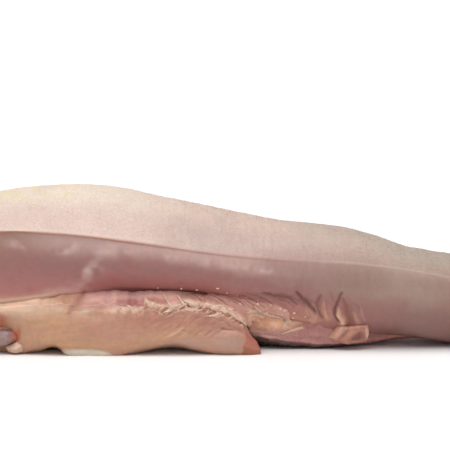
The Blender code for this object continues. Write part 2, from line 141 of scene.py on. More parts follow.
KEEL_START, KEEL_END = 118.0, 300.0
KEEL_HALF_WIDTH = ((118, 20), (170, 27), (206, 27.5), (240, 25), (258, 20), (280, 16), (300, 9))
KEEL_TOP_HEIGHT = ((118, 34), (206, 30), (251, 26), (286, 20), (300, 15))
KEEL_SOLE_HEIGHT = ((118, 0), (170, -1), (240, -SOLE_DEPTH), (254, -0.4), (268, 1.6), (300, 3.5))
KEEL_FLARE = ((118, 3), (186, 8), (195, 6.2), (204, 4.8), (225, 3.6), (258, 3))

FLAP_START, FLAP_END = 232.0, 257.5
FLAP_LOW = ((232, 8.4), (240, 6.2), (250, 5.2), (257.5, 6.6))
FLAP_HIGH = ((232, 10.5), (240, 16), (250, 18), (257.5, 19.2))
FLAP_OUT = ((232, 26.5), (240, 30.5), (250, 31), (257.5, 29.5))
FLAP_IN = 14.0

CAMERA_ELEVATION = 10.0
LEAN = math.tan(math.radians(CAMERA_ELEVATION))  # a point looks this much lower for each millimetre nearer

VEIN_MIDDLE, VEIN_SIZE = (34.6, -38.8, 10.6), (13.2, 6.6, 6.2)
FAT_KNOB_MIDDLE, FAT_KNOB_SIZE = (47.2, -39.8, 4.5), (7.4, 6.0, 4.3)

SHIFT = Vector((solid_high.x / MM - LAST_X, MIDDLE_Y, 0.0))  # from the dimensions above to the frame


# ---------------------------------------------------------------- curves, unevenness and brush strokes
def along(keys):
    """A smooth function of x through (x, value) pairs, level at both ends."""
    xs = np.array([k[0] for k in keys], float)
    values = np.array([k[1] for k in keys], float)
    slopes = np.gradient(values, xs)
    slopes[0] = slopes[-1] = 0.0

    def value_at(x):
        x = np.clip(x, xs[0], xs[-1])
        i = np.clip(np.searchsorted(xs, x) - 1, 0, len(xs) - 2)
        step = xs[i + 1] - xs[i]
        t = (x - xs[i]) / step
        return (
            values[i] * (1 + 2 * t) * (1 - t) ** 2
            + slopes[i] * step * t * (1 - t) ** 2
            + values[i + 1] * t * t * (3 - 2 * t)
            + slopes[i + 1] * step * t * t * (t - 1)
        )

    return value_at


crest, ridge_half_width, ridge_height = along(CREST), along(RIDGE_HALF_WIDTH), along(RIDGE_HEIGHT)
belly_half_width, belly_height = along(BELLY_HALF_WIDTH), along(BELLY_HEIGHT)
fold_half_width, fold_height, sole_height = along(FOLD_HALF_WIDTH), along(FOLD_HEIGHT), along(SOLE_HEIGHT)
dome_power, middle_sway, ridge_lip = along(DOME_POWER), along(MIDDLE_SWAY), along(RIDGE_LIP)
trim_lip_half_width, trim_lip_height = along(TRIM_LIP_HALF_WIDTH), along(TRIM_LIP_HEIGHT)
trim_bulge_half_width, trim_inner_half_width = along(TRIM_BULGE_HALF_WIDTH), along(TRIM_INNER_HALF_WIDTH)
trim_foot_lift, trim_sole_half_width = along(TRIM_FOOT_LIFT), along(TRIM_SOLE_HALF_WIDTH)
keel_half_width, keel_top_height = along(KEEL_HALF_WIDTH), along(KEEL_TOP_HEIGHT)
keel_sole_height, keel_flare, furrow_depth = along(KEEL_SOLE_HEIGHT), along(KEEL_FLARE), along(FURROW_DEPTH)
flap_low, flap_high, flap_out = along(FLAP_LOW), along(FLAP_HIGH), along(FLAP_OUT)


def soft(value, low, high):
    """0 below low, 1 above high, and a smooth turn between them. It falls where high is under low."""
    t = np.clip((value - low) / (high - low), 0, 1)
    return t * t * (3 - 2 * t)


def straight(keys, x):
    """The value at x on straight runs through (x, value) pairs."""
    return np.interp(x, *np.array(keys).T)


def lumps(points, pitch, seed):
    """Soft unevenness between about -1 and 1 at each point, with lumps about pitch across. Another seed gives
    unevenness that has nothing to do with the first."""
    flat = points.reshape(-1, 3) / pitch + (seed, 0.0, 0.0)
    values = np.fromiter((noise.noise(p) for p in flat.tolist()), float, len(flat))
    return values.reshape(points.shape[:-1])


def rough(points, pitch, seed, layers=3):
    """Unevenness of several sizes: each layer has half the pitch and half the strength of the one before."""
    total = 0.0
    for layer in range(layers):
        total = total + lumps(points, np.array(pitch) / 2**layer, seed + 7.3 * layer) / 2**layer
    return total


def crumpled_folds(points, pitch, seed):
    """Sharp crests that branch and meet, as in crumpled film: 1 on a crest, and -0.5 in the hollows."""
    return np.clip(1 - 4 * np.abs(lumps(points, np.array(pitch), seed)), -0.5, 1)


def neighbours(grid):
    """The sum of the four neighbours of each point in a grid of points, whose edges go on level."""
    padded = np.pad(grid, ((1, 1), (1, 1)) + ((0, 0),) * (grid.ndim - 2), mode="edge")
    return padded[:-2, 1:-1] + padded[2:, 1:-1] + padded[1:-1, :-2] + padded[1:-1, 2:]


def curve_through(points, steps=7):
    """An open Catmull-Rom curve through the points."""
    points = np.array(points, float)
    padded = np.vstack([2 * points[0] - points[1], points, 2 * points[-1] - points[-2]])
    made = []
    for a, b, c, d in zip(padded, padded[1:], padded[2:], padded[3:]):
        for t in np.arange(steps) / steps:
            square, cube = 2 * a - 5 * b + 4 * c - d, 3 * b - a - 3 * c + d
            made.append(0.5 * (2 * b + (c - a) * t + square * t**2 + cube * t**3))
    return np.vstack([made, points[-1]])


def stroke(x, height, path, half_width, ends=(0.3, 0.3)):
    """How strongly each point lies on a brush stroke along a path of (x, height): 1 on it, 0 off it. The
    stroke's width at its two ends is given as shares of its full width."""
    curve = curve_through(path)
    steps = np.hypot(*np.diff(curve, axis=0).T)
    run = np.concatenate([[0], np.cumsum(steps)]) / steps.sum()
    made = np.zeros(x.shape)
    margin = 3 * half_width
    low, high = curve.min(axis=0) - margin, curve.max(axis=0) + margin
    close = (x > low[0]) & (x < high[0]) & (height > low[1]) & (height < high[1])
    if not close.any():
        return made
    px, pz = x[close], height[close]
    best, where = np.full(px.shape, np.inf), np.zeros(px.shape)
    for k, (a, b) in enumerate(zip(curve, curve[1:])):
        d = b - a
        t = np.clip(((px - a[0]) * d[0] + (pz - a[1]) * d[1]) / (d @ d), 0, 1)
        away = np.hypot(px - a[0] - t * d[0], pz - a[1] - t * d[1])
        nearer = away < best
        best[nearer] = away[nearer]
        where[nearer] = (run[k] + t * (run[k + 1] - run[k]))[nearer]
    width = half_width * np.interp(where, (0, 0.35, 0.65, 1), (ends[0], 1, 1, ends[1]))
    made[close] = np.exp(-((best / width) ** 2))
    return made


def from_middle(x, height, middle, size, turn):
    """How far each point lies from the middle of an oval along its two axes, in shares of its half sizes."""
    c, s = math.cos(math.radians(turn)), math.sin(math.radians(turn))
    dx, dz = x - middle[0], height - middle[1]
    return (dx * c + dz * s) / size[0], (dz * c - dx * s) / size[1]


def dab(x, height, middle, size, turn=0.0):
    """How strongly each point lies in a soft oval patch at (x, height), turned by some degrees."""
    across, up = from_middle(x, height, middle, size, turn)
    return np.exp(-(across**2) - up**2)


def patch(x, height, middle, size, turn, softness):
    """Like a dab, but even inside and soft only near its edge."""
    return soft(np.hypot(*from_middle(x, height, middle, size, turn)), 1 + softness, 1 - softness)


def level(points):
    """How high each point looks from its own side: its height, less what the downward look takes off."""
    return points[..., 2] - LEAN * np.abs(points[..., 1] - middle_sway(points[..., 0]))


def linear(red, green, blue):
    """A colour on the 0 to 255 scale of a screen, as the light that it stands for."""
    c = np.array((red, green, blue)) / 255
    return np.where(c <= 0.04045, c / 12.92, ((c + 0.055) / 1.055) ** 2.4)


def over(tint, colour, share):
    """The tint with a colour laid over it."""
    share = np.clip(np.asarray(share), 0, 1)[..., None]
    return tint * (1 - share) + np.asarray(colour) * share


def layered(tint, *layers):
    """The tint with several colours laid over it, one after the other, each with its share."""
    for colour, share in layers:
        tint = over(tint, colour, share)
    return tint


# ---------------------------------------------------------------- meshes from sheets of points
def outward(points, closed=True):
    """The unit normals of a sheet of rings, stations by ring points."""
    if closed:
        around = np.roll(points, -1, axis=1) - np.roll(points, 1, axis=1)
    else:
        around = np.gradient(points, axis=1)
    normals = np.cross(around, np.gradient(points, axis=0))
    return normals / np.maximum(np.linalg.norm(normals, axis=2, keepdims=True), 1e-9)


def ring_mesh(points, closed=True, start_cap=False, end_cap=False):
    """The vertices and faces of a sheet of rings. A cap closes an end to its middle."""
    stations_count, count = points.shape[:2]
    index = np.arange(stations_count * count).reshape(stations_count, count)
    following = np.roll(index, -1, axis=1) if closed else index[:, 1:]
    here = index if closed else index[:, :-1]
    quads = np.stack([here[:-1], following[:-1], following[1:], here[1:]], axis=-1).reshape(-1, 4)
    vertices = [points.reshape(-1, 3)]
    faces = quads.tolist()
    for wanted, row, turned in ((start_cap, 0, True), (end_cap, -1, False)):
        if not wanted:
            continue
        middle = sum(len(v) for v in vertices)
        vertices.append(points[row].mean(axis=0)[None])
        for a, b in zip(index[row], np.roll(index[row], -1)):
            faces.append([int(b), int(a), middle] if turned else [int(a), int(b), middle])
    return np.vstack(vertices), faces


def joined(parts):
    """Several (vertices, faces, values...) sets as one."""
    vertices, faces, start = [], [], 0
    for part in parts:
        vertices.append(part[0])
        faces += [[k + start for k in face] for face in part[1]]
        start += len(part[0])
    rest = [np.concatenate([part[k] for part in parts]) for k in range(2, len(parts[0]))]
    return (np.vstack(vertices), faces, *rest)


def made_piece(name, vertices, faces, tint, material, slot, **masks):
    """A smooth-shaded piece of the tongue in the frame's place, with its colours and masks on its vertices. A
    mask is one number, or one for each vertex."""
    data = bpy.data.meshes.new(name)
    placed = (np.asarray(vertices) + np.array(SHIFT)) * MM
    placed[:, 2] = np.maximum(placed[:, 2], 0.0)
    data.from_pydata(placed.tolist(), [], faces)
    data.validate()
    colours = data.attributes.new("tint", "FLOAT_COLOR", "POINT")
    padded = np.ones((len(placed), 4), np.float32)
    padded[:, :3] = np.clip(tint, 0.0, 1.0)
    colours.data.foreach_set("color", padded.ravel())
    for mask, values in masks.items():
        layer = data.attributes.new(mask, "FLOAT", "POINT")
        layer.data.foreach_set("value", np.full(len(placed), values, np.float32))
    data.shade_smooth()
    data.materials.append(material)
    piece = bpy.data.objects.new(name, data)
    bpy.context.scene.collection.objects.link(piece)
    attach(piece, "root")
    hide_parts("beef_tongue")


def capped(values, start_cap=True):
    """The values of a sheet's points in mesh order, with those of the caps' middles added."""
    rows = [values.reshape(-1, *values.shape[2:])]
    if start_cap:
        rows.append(values[0].mean(axis=0)[None])
    return np.concatenate(rows + [values[-1].mean(axis=0)[None]])


def flesh_piece(name, points, tint, wet, start_cap=True):
    """A piece of flesh from a sheet of rings. Small things can be seated on it later."""
    vertices, faces = ring_mesh(points, start_cap=start_cap, end_cap=True)
    made_piece(name, vertices, faces, capped(tint, start_cap), FLESH, "trimmings", wet=wet)
    SURFACES.append((vertices, faces))


def stations(*runs):
    """The x of every ring, from runs of (start, end, step). The last run's end is included."""
    xs = []
    for start, end, step in runs:
        xs += list(np.linspace(start, end, round((end - start) / step), endpoint=False))
    return xs + [runs[-1][1]]


def smooth_rings(corners, steps):
    """Closed Catmull-Rom curves through the corners of many sections at once: stations by corners by 2."""
    n = corners.shape[1]
    runs = []
    for i, count in enumerate(steps):
        a, b, c, d = (corners[:, (i + j) % n][:, None] for j in (-1, 0, 1, 2))
        t = (np.arange(count) / count)[None, :, None]
        square, cube = 2 * a - 5 * b + 4 * c - d, 3 * b - a - 3 * c + d
        runs.append(0.5 * (2 * b + (c - a) * t + square * t**2 + cube * t**3))
    return np.concatenate(runs, axis=1)


def rounded_boxes(inner, outer, low, high, turns, power):
    """Superellipses in boxes of half widths and heights, with a point at each turn, in degrees."""
    cosine, sine = np.cos(np.radians(turns))[None], np.sin(np.radians(turns))[None]
    inner, outer, low, high = (np.asarray(v, float).reshape(-1, 1) for v in (inner, outer, low, high))
    w = (inner + outer) / 2 + (outer - inner) / 2 * np.sign(cosine) * np.abs(cosine) ** (2 / power)
    h = (low + high) / 2 + (high - low) / 2 * np.sign(sine) * np.abs(sine) ** (2 / power)
    return np.stack(np.broadcast_arrays(w, h), axis=-1)


# ---------------------------------------------------------------- the tongue in its skin
BACK_COUNT, SIDE_COUNT, SOLE_COUNT = 50, 42, 12
BACK_Q = np.linspace(0, 1, BACK_COUNT) ** 0.94
SIDE_V = np.concatenate([np.linspace(0.008, 0.06, 6), np.linspace(0.085, 1, SIDE_COUNT)])
SOLE_Q = 1 - np.linspace(0, 1, SOLE_COUNT + 1)[1:] ** 1.4
SKIN_RUNS, TIP_RINGS = ((0, 165, 1.15), (165, 262, 0.66), (262, LAST_EVEN_X, 1.3)), 24
SOFTEN_COUNT = 256
CUT_OVAL = (36, 40)  # the half width and half height of the muscle in the cut


def tip_share(x):
    """How much of its full section the blade still has at x: 1 along the blade, and 0 at the tip."""
    t = np.clip((x - (TIP_X - TIP_ROUNDING)) / TIP_ROUNDING, 0, 1)
    return (1 - t**2.3) ** (1 / 2.3)


def skin_half(x):
    """Half sections of the tongue at the stations x, a column, from the crest down one side to the middle of
    the sole: half widths and heights."""
    share = tip_share(x)
    high, sole, lip = crest(x), sole_height(x), ridge_lip(x)
    ridge_w, ridge_h = ridge_half_width(x), ridge_height(x)
    belly_w, belly_h = belly_half_width(x), belly_height(x)
    fold_w, fold_h = fold_half_width(x), fold_height(x)
    q = BACK_Q[None]
    furrow = furrow_depth(x) * np.exp(-((ridge_w * q / FURROW_HALF_WIDTH) ** 2))
    back_w = ridge_w * q + 0.5 * lip * soft(q, 0.93, 1)
    back_h = ridge_h + (high - ridge_h) * (1 - q ** dome_power(x)) - furrow
    v = SIDE_V[None]
    at_belly = (ridge_h - belly_h) / (ridge_h - fold_h)
    side_w = (
        ridge_w * (v - at_belly) * (v - 1) / at_belly
        + belly_w * v * (v - 1) / (at_belly * (at_belly - 1))
        + fold_w * v * (v - at_belly) / (1 - at_belly)
    )
    side_w = side_w - lip * np.exp(-v / 0.3) + 1.5 * lip * soft(v, 0.05, 0)
    side_h = ridge_h + (fold_h - ridge_h) * v
    across, up = (x - DENT_X) / DENT_REACH[0], (side_h - DENT_HEIGHT) / DENT_REACH[1]
    side_w = side_w - DENT_DEPTH * np.exp(-across * across - up * up)
    q = SOLE_Q[None]
    sole_w, sole_h = fold_w * q, sole + (fold_h - sole) * q**3
    w = np.hstack([back_w, side_w, sole_w]) * share**1.15
    h = TIP_HEIGHT + (np.hstack([back_h, side_h, sole_h]) - TIP_HEIGHT) * share**0.8
    return w, h


def softened(ring, reach):
    """A closed ring of points with its corners softened over a reach in millimetres."""
    steps = np.hypot(*np.diff(np.vstack([ring, ring[:1]]), axis=0).T)
    place = np.concatenate([[0], np.cumsum(steps)])
    even = np.arange(SOFTEN_COUNT) / SOFTEN_COUNT * place[-1]
    wave = np.exp(-2 * (math.pi * np.fft.rfftfreq(SOFTEN_COUNT, place[-1] / SOFTEN_COUNT) * reach) ** 2)
    columns = []
    for k in range(2):
        values = np.interp(even, place, np.append(ring[:, k], ring[0, k]))
        smooth = np.fft.irfft(np.fft.rfft(values) * wave, SOFTEN_COUNT)
        columns.append(np.interp(place[:-1], np.append(even, place[-1]), np.append(smooth, smooth[0])))
    return np.column_stack(columns)


def cut_x(y, height):
    """Where the knife cut the root: it leans back and is uneven, and the muscle lies behind its rim of skin."""
    inside = np.clip(3 * (1 - np.hypot(y / CUT_OVAL[0], (height - CUT_MIDDLE_HEIGHT) / CUT_OVAL[1])), 0, 1)
    flat = np.stack([y, height, np.zeros_like(y)], axis=-1)
    uneven = lumps(flat, CUT_PITCH, 3) * (0.3 + 0.7 * inside)
    return CUT_SLANT * (height - CUT_MIDDLE_HEIGHT) + CUT_DISH * inside + CUT_UNEVENNESS * uneven


def slanted(points):
    """The sheet with its stations near the root moved onto the cut."""
    start = points[..., 0]
    moved = points.copy()
    fade = soft(start, CUT_FADE, 0)
    close = fade > 0
    moved[close, 0] += cut_x(points[close, 1], points[close, 2]) * fade[close]
    return moved


def skin_sheet(xs):
    """The tongue's sections at xs: stations by ring points, from the crest round by the near side, and each
    ring point's lane and side. The lane runs from 0 at the crest by 1 at the ridge and 2 at the fold to 3
    under the middle."""
    x = np.array(xs)[:, None]
    w, h = skin_half(x)
    lane = np.concatenate([BACK_Q, 1 + SIDE_V, 3 - SOLE_Q])
    ring = np.concatenate([
        np.stack([NEAR * w, h], axis=-1),
        np.stack([FAR * w, h], axis=-1)[:, -2:0:-1],
    ], axis=1)
    share = np.clip((x[:, 0] - SOFTEN_FROM) / SOFTEN_OVER, 0, 1)
    for k in np.flatnonzero(share > 0):
        ring[k] = ring[k] * (1 - share[k]) + softened(ring[k], SOFTEN_REACH * tip_share(xs[k])) * share[k]
    points = np.concatenate([
        np.broadcast_to(x[..., None], ring.shape[:2] + (1,)),
        ring[..., :1] + middle_sway(x)[..., None],
        ring[..., 1:],
    ], axis=-1)
    lanes = np.concatenate([lane, lane[-2:0:-1]])
    sides = np.concatenate([np.full(len(lane), NEAR), np.full(len(lane) - 2, FAR)])
    return points, lanes, sides


# ---------------------------------------------------------------- colours, as they look in the studio's light
# How brightly the back, the flanks, the trimmings and what lies in their shade are lit
TOP_LIGHT, FLANK_LIGHT, FAT_LIGHT, LOW_LIGHT = 1.18, 1.0, 1.1, 0.86


def surface(red, green, blue, light=FLANK_LIGHT):
    """The surface's own colour, from how it looks under its share of the studio's light."""
    return linear(red, green, blue) / light


CREAM = surface(241, 221, 204, TOP_LIGHT)  # the thick skin over the hump
LEMON = surface(238, 219, 172, TOP_LIGHT)  # stained papillae
SHELL = surface(220, 192, 178, TOP_LIGHT)  # the back, further along
BLUSH = surface(217, 188, 178, TOP_LIGHT)  # the back, low towards the ridge
STONE = surface(196, 174, 159, TOP_LIGHT)  # the blade's back
DUN = surface(174, 156, 140, TOP_LIGHT)  # towards the tip
RIDGE_HIGHLIGHT = surface(232, 214, 192, TOP_LIGHT)  # painted highlight along the ridge's edge
MAUVE_PALE = surface(186, 151, 144)  # the flank, just under the ridge
FLANK_HIGHLIGHT = surface(204, 172, 164)  # painted highlights: pale blotches on the flank
OLIVE_PALE = surface(164, 124, 109)  # the same near the root
ROSE_BROWN = surface(153, 105, 100)  # the flank
ROSE = surface(154, 99, 94, LOW_LIGHT)  # low on the flank
WINE = surface(138, 80, 78, LOW_LIGHT)  # its reddest parts
STONE_FLANK = surface(164, 135, 122)  # the blade's flank
TAUPE = surface(140, 103, 96)  # low on the blade
BLADE_ROSE = surface(154, 104, 98)  # low on the blade, beside the gathered folds
MAROON_SHADE = surface(88, 42, 40, LOW_LIGHT)  # painted shade in the groove under the flank, and in deep creases
UMBER_SHADE = surface(122, 74, 66, LOW_LIGHT)  # painted shade on the blade's underside, and in shallow creases
SHADE = surface(70, 36, 30, LOW_LIGHT)  # painted shade in the hollows of the underside
RIDGE_SHADOW = surface(172, 112, 86)  # painted shadow in the line under the ridge's lip
MAUVE_MEMBRANE = surface(161, 114, 108, LOW_LIGHT)
CREAM_FAT = surface(230, 193, 166, FAT_LIGHT)
PEACH = surface(192, 143, 117, FAT_LIGHT)
GOLD_FAT = surface(196, 150, 112, FAT_LIGHT)
PINK_FAT = surface(190, 139, 117, FAT_LIGHT)
ROSE_FAT = surface(180, 120, 103, FAT_LIGHT)
LEDGE_PINK = surface(196, 152, 143, LOW_LIGHT)
GREY_FAT = surface(186, 149, 133, FAT_LIGHT)
WHITE_FAT = surface(206, 190, 171, FAT_LIGHT)
ORANGE_FLESH = surface(186, 104, 74, FAT_LIGHT)
RED_FLESH = surface(156, 72, 54, FAT_LIGHT)
GLAND = surface(156, 124, 116, FAT_LIGHT)
PURPLE = surface(98, 58, 60, FAT_LIGHT)
KEEL_GOLD = surface(236, 181, 145, LOW_LIGHT)
OCHRE = surface(192, 141, 119)
PETAL_LIT = surface(207, 157, 131)  # painted light on the lit faces of the gathered folds
PETAL_SHADE = surface(134, 80, 65)  # and painted shade on the faces that are turned away
WRINKLED_SKIN = surface(187, 139, 127, LOW_LIGHT)  # the loose skin over the flap
# painted shade in hollows
HOLLOW_SHADE = surface(107, 59, 46)
LIP_WHITE = surface(188, 176, 160, LOW_LIGHT)  # the lip of fat along the foot of the trimmings
MEMBRANE = surface(232, 198, 172, FAT_LIGHT)
MEMBRANE_PINK = surface(212, 164, 144, FAT_LIGHT)
PAPILLA_WHITE = surface(222, 182, 164)
FIBRE_GAP = surface(150, 96, 80)  # between the fibres of the trimmings
FLAP_CUT, FLAP_CUT_LOW = surface(178, 110, 92), surface(160, 92, 64)  # the cut tip of the flap
KEEL_CREAM = surface(226, 184, 156, LOW_LIGHT)  # the palest fat on the keel
FRENULUM_TAN = surface(180, 124, 102)
SHEATH_GREY = surface(140, 104, 112)  # the sheath round the vein
SKIN_RIM = surface(214, 186, 166)  # the cut skin round the root
MUSCLE_DARK, MUSCLE_PALE = surface(120, 46, 40), surface(168, 88, 74)


# ---------------------------------------------------------------- the marks that the near flank shows
# The near flank has these marks, and the far flank has them moved along and a little up. A crease is a path
# of (x, level), a half width, the shares of it at both ends, a depth, and how dark the painted shade in it is.
CREASES = (
    (((193.6, 29), (201, 28.4), (208.4, 26.4), (213.6, 23.4)), 1.35, (0.4, 0.6), 1.1, 0.9),
    (((213.6, 30.6), (218.4, 25.2), (223.2, 20.6), (225, 18.2)), 1.8, (0.5, 0.6), 1.3, 0.95),
    (((228.6, 29.2), (226.4, 24.8), (226.6, 19.4), (229.2, 14.8)), 1.4, (0.4, 0.5), 1.0, 0.75),
    (((234.2, 30), (235.2, 25.6)), 1.2, (0.5, 0.5), 0.4, 0.45),
    (((240.8, 29.8), (238.8, 26), (237.2, 21.4), (237, 16), (238, 12.4)), 1.2, (0.9, 0.5), 1.2, 0.95),
    (((246.4, 24), (247.4, 18.2), (247, 12.4)), 0.8, (0.3, 0.5), 0.5, 0.4),
    (((248.8, 24.6), (251.6, 20.4), (253.8, 15.6), (254, 12.4)), 0.9, (0.4, 0.4), 0.4, 0.4),
    (((231.2, 24.4), (232, 18.9), (233.6, 14.4)), 1.0, (0.4, 0.6), 0.5, 0.5),
    (((220, 22.6), (221.8, 17.6), (221.2, 13.6)), 0.9, (0.3, 0.5), 0.4, 0.4),
)
# A facet is a face of a gathered fold, from its top down: a path, a half width, the shares of it at both ends, a
# height, and a colour with its share. Most are lit faces, whose colour is partly the fold's own and partly
# painted light; the brown one is turned away and carries painted shade.
FACETS = (
    (((219.6, 21.6), (222.4, 17.2), (223.4, 12.6)), 2.0, (0.2, 0.9), 0.7, OCHRE, 0.75),
    (((220.6, 19.4), (221.4, 16), (223, 12.4)), 0.5, (0.3, 0.8), 0.3, MEMBRANE_PINK, 0.7),
    (((224.6, 20), (225.6, 16.6), (224.8, 13.6)), 0.7, (0.3, 0.8), 0.4, MEMBRANE_PINK, 0.7),
    (((230, 25), (230.8, 20.4), (232.4, 14)), 1.9, (0.2, 0.8), 0.8, OCHRE, 0.8),
    (((230.6, 21.6), (231.8, 17), (233.8, 14)), 0.8, (0.2, 1.0), 0.4, PETAL_LIT, 0.8),
    (((241.6, 26.4), (243.8, 20.6), (244.8, 15.6), (244.6, 11.4)), 1.9, (0.3, 0.9), 0.2, PETAL_SHADE, 0.95),
    (((238.6, 22), (239.6, 17.4), (241.2, 11.4)), 1.45, (0.15, 1.2), 1.0, PETAL_LIT, 1.0),
    (((238.4, 19.4), (239, 15.4), (240.6, 11.6)), 0.8, (0.3, 1.2), 0.3, MEMBRANE, 0.85),
    (((247.4, 19.6), (248.8, 16), (250.2, 12)), 1.5, (0.2, 0.9), 0.8, PINK_FAT, 0.85),
    (((251.6, 22.4), (253, 17.4), (254.6, 13)), 0.7, (0.2, 0.8), 0.4, MEMBRANE_PINK, 0.55),
    (((205, 17.4), (212, 15.8), (220, 13.4), (228, 12.6)), 1.5, (0.3, 0.6), 0.3, OCHRE, 0.5),
)
WRINKLE_COUNT, WRINKLE_FIRST, WRINKLE_STEP = 23, (138.0, 31.0), (3.3, -0.1)
WRINKLE_RUN = ((0, 0), (5, -1.2), (10, -3.4), (15, -6.4))
BEND_PITCHES, BEND_REACH = (6.0, 2.4), 1.12  # how unevenly the marks are drawn
TORN_EDGE = (  # the torn upper edge of the trimmings, from the root on
    (78, 18.9), (85.2, 18.3), (93, 19.8), (97.8, 19.2), (101.4, 20.1), (103.8, 18.9), (107.1, 21.6),
    (111, 19.5), (112.5, 22.2), (117, 19.8), (122.4, 21), (122.8, 26.2), (126.6, 24.4), (131.4, 23.4),
    (136.2, 21.9), (139.2, 23.1), (144.6, 23.4), (146.4, 25), (150.6, 25.3), (154.8, 23.4), (159.6, 22.8),
    (165.6, 23.1), (171.6, 21.3), (176.4, 19.2), (181.2, 13.4), (186, 4.9),
)
# A raised fold on the flank near the root, with a painted highlight along it
HIGHLIT_FOLD = ((98.4, 56), (94.2, 48.7), (88.8, 41.4), (81.6, 32.9))
RED_CREASE = ((87.6, 30.4), (84, 26.2), (79.8, 21.3), (77.4, 16.4))
# Painted highlights on the flank, each a place and half sizes
HIGHLIGHT_BLOTCHES = (
    ((78, 58.5), (8, 3)), ((75.6, 55.4), (5, 2.2)), ((100.8, 55.4), (7, 3)), ((110.4, 57.2), (8, 2.4)),
    ((165.6, 48.7), (13, 2.6)), ((139.2, 51.8), (9, 1.8)), ((49.2, 59.1), (9, 2.2)), ((90, 43.8), (6, 3)),
    ((192, 44.5), (12, 2.2)), ((71, 29.4), (8, 3.2)),
)
HIGHLIT_CREASE = ((280, 45.4), (290, 44.6), (298, 43.8), (303, 40.5), (306, 37.1))  # a painted highlight along a thin line on the blade
BLADE_CREASE = ((296.4, 39.6), (301.2, 30.4), (305.4, 20.1), (309.6, 7.3))  # a soft crease down the blade
# how strongly the painted shadow under the ridge is laid on along x
RIDGE_SHADOW_STRENGTH = ((0, 0.5), (50, 0.5), (78, 0.65), (110, 0.8), (130, 0.5), (200, 0.3), (235, 0))
FAR_MOVE = (-5.0, 0.8)


def marks(path, side):
    """The path of a mark on one flank."""
    return path if side == NEAR else tuple((x + FAR_MOVE[0], h + FAR_MOVE[1]) for x, h in path)


def wrinkles():
    """The paths of the fine slanting wrinkles behind the groove."""
    for k in range(WRINKLE_COUNT):
        start = (WRINKLE_FIRST[0] + WRINKLE_STEP[0] * k, WRINKLE_FIRST[1] + WRINKLE_STEP[1] * k)
        scale = 1.15 + 0.6 * noise.noise((1.7 * k, 4.0, 0.0))
        yield tuple((start[0] + scale * a, start[1] + scale * b) for a, b in WRINKLE_RUN)


def unevenly(x, seen, side):
    """The (x, level) of each point, bent a little, so that what is drawn there is as uneven as grown skin."""
    flat = np.stack([x, seen, np.full(x.shape, 9.0 * side)], axis=-1)
    across, up = (
        sum(pitch * lumps(flat, pitch, seed) for pitch in BEND_PITCHES) / BEND_PITCHES[0]
        for seed in (201, 203)
    )
    return x + BEND_REACH * across, seen + BEND_REACH * up


def flank_relief(x, seen, side):
    """How far the marks of one flank stand out or lie back, and how strongly a point lies in a crease."""
    relief, creased = np.zeros(x.shape), np.zeros(x.shape)
    x, seen = unevenly(x, seen, side)
    for path, half_width, ends, rise, _, _ in FACETS:
        relief += rise * stroke(x, seen, marks(path, side), half_width, ends)
    for path, half_width, ends, depth, dark in CREASES:
        share = stroke(x, seen, marks(path, side), half_width, ends)
        relief -= depth * share
        creased = np.maximum(creased, dark * share)
    lines = wrinkled(x, seen, side)
    relief -= 0.6 * lines
    creased = np.maximum(creased, 0.75 * lines)
    relief += 0.5 * stroke(x, seen, marks(HIGHLIT_FOLD, side), 4.0, (0.6, 1.3))
    relief -= 0.9 * stroke(x, seen, marks(RED_CREASE, side), 2.2)
    return relief, creased


def wrinkled(x, seen, side):
    """How strongly each point lies in one of the fine wrinkles."""
    lines = np.zeros(x.shape)
    for k, path in enumerate(wrinkles()):
        strength = 0.5 + 0.3 * (k % 3)
        lines = np.maximum(lines, strength * stroke(x, seen, marks(path, side), 0.62, (0.5, 0.3)))
    return lines


def torn_edge(x, side):
    """The level of the torn edge at each x."""
    line = np.stack([x, np.zeros_like(x), np.full(x.shape, 5.0 * side)], axis=-1)
    return straight(marks(TORN_EDGE, side), x) + 0.5 * lumps(line, 2.1, 77) + 0.35 * lumps(line, 1.1, 78)


def tongue_skin():
    """The tongue in its skin, from the cut root to the tip."""
    xs = stations(*SKIN_RUNS)
    steps = (1 - math.sin(math.pi / 2 * k / TIP_RINGS) for k in range(1, TIP_RINGS))
    xs += [TIP_X - (TIP_X - LAST_EVEN_X) * step for step in steps] + [LAST_X]
    points, lanes, sides = skin_sheet(xs)
    points = slanted(points)
    normals = outward(points)
    x, seen = points[..., 0], level(points)
    lane = np.broadcast_to(lanes, x.shape)
    side = np.broadcast_to(sides, x.shape)
    back = soft(lane, 1.02, 0.95)
    flank = (1 - back) * soft(lane, 2.7, 2.2)
    closing = soft(x, TIP_X, TIP_X - 12)

    relief = 0.4 * lumps(points, 19, 2) * closing + 0.25 * lumps(points, 8, 5) * closing
    relief += 0.12 * rough(points, 2.6, 11, 2) * back * closing
    relief += 0.14 * lumps(points, np.array((1.9, 30, 12)), 31) * closing * soft(x, 110, 150)
    relief -= 0.5 * stroke(x, seen, BLADE_CREASE, 3.0) * flank
    creased = np.zeros(x.shape)
    for one in (NEAR, FAR):
        on_side = (side == one) & (lane > 1.1) & (lane < 2.6)
        moved, creased[on_side] = flank_relief(x[on_side], seen[on_side], one)
        relief[on_side] += moved

    tint = skin_tint(x, seen, lane, side, points, creased)
    points = points + normals * relief[..., None]
    vertices, faces = ring_mesh(points, end_cap=True)
    made_piece(
        "tongue_skin", vertices, faces, capped(tint, False), SKIN, "tongue_skin",
        papillae=capped(back * soft(x, TIP_X, 330), False), wet=capped(flank * (0.6 + 0.4 * creased), False))
    SURFACES.append((vertices, faces))
    return points, normals, lanes, tint


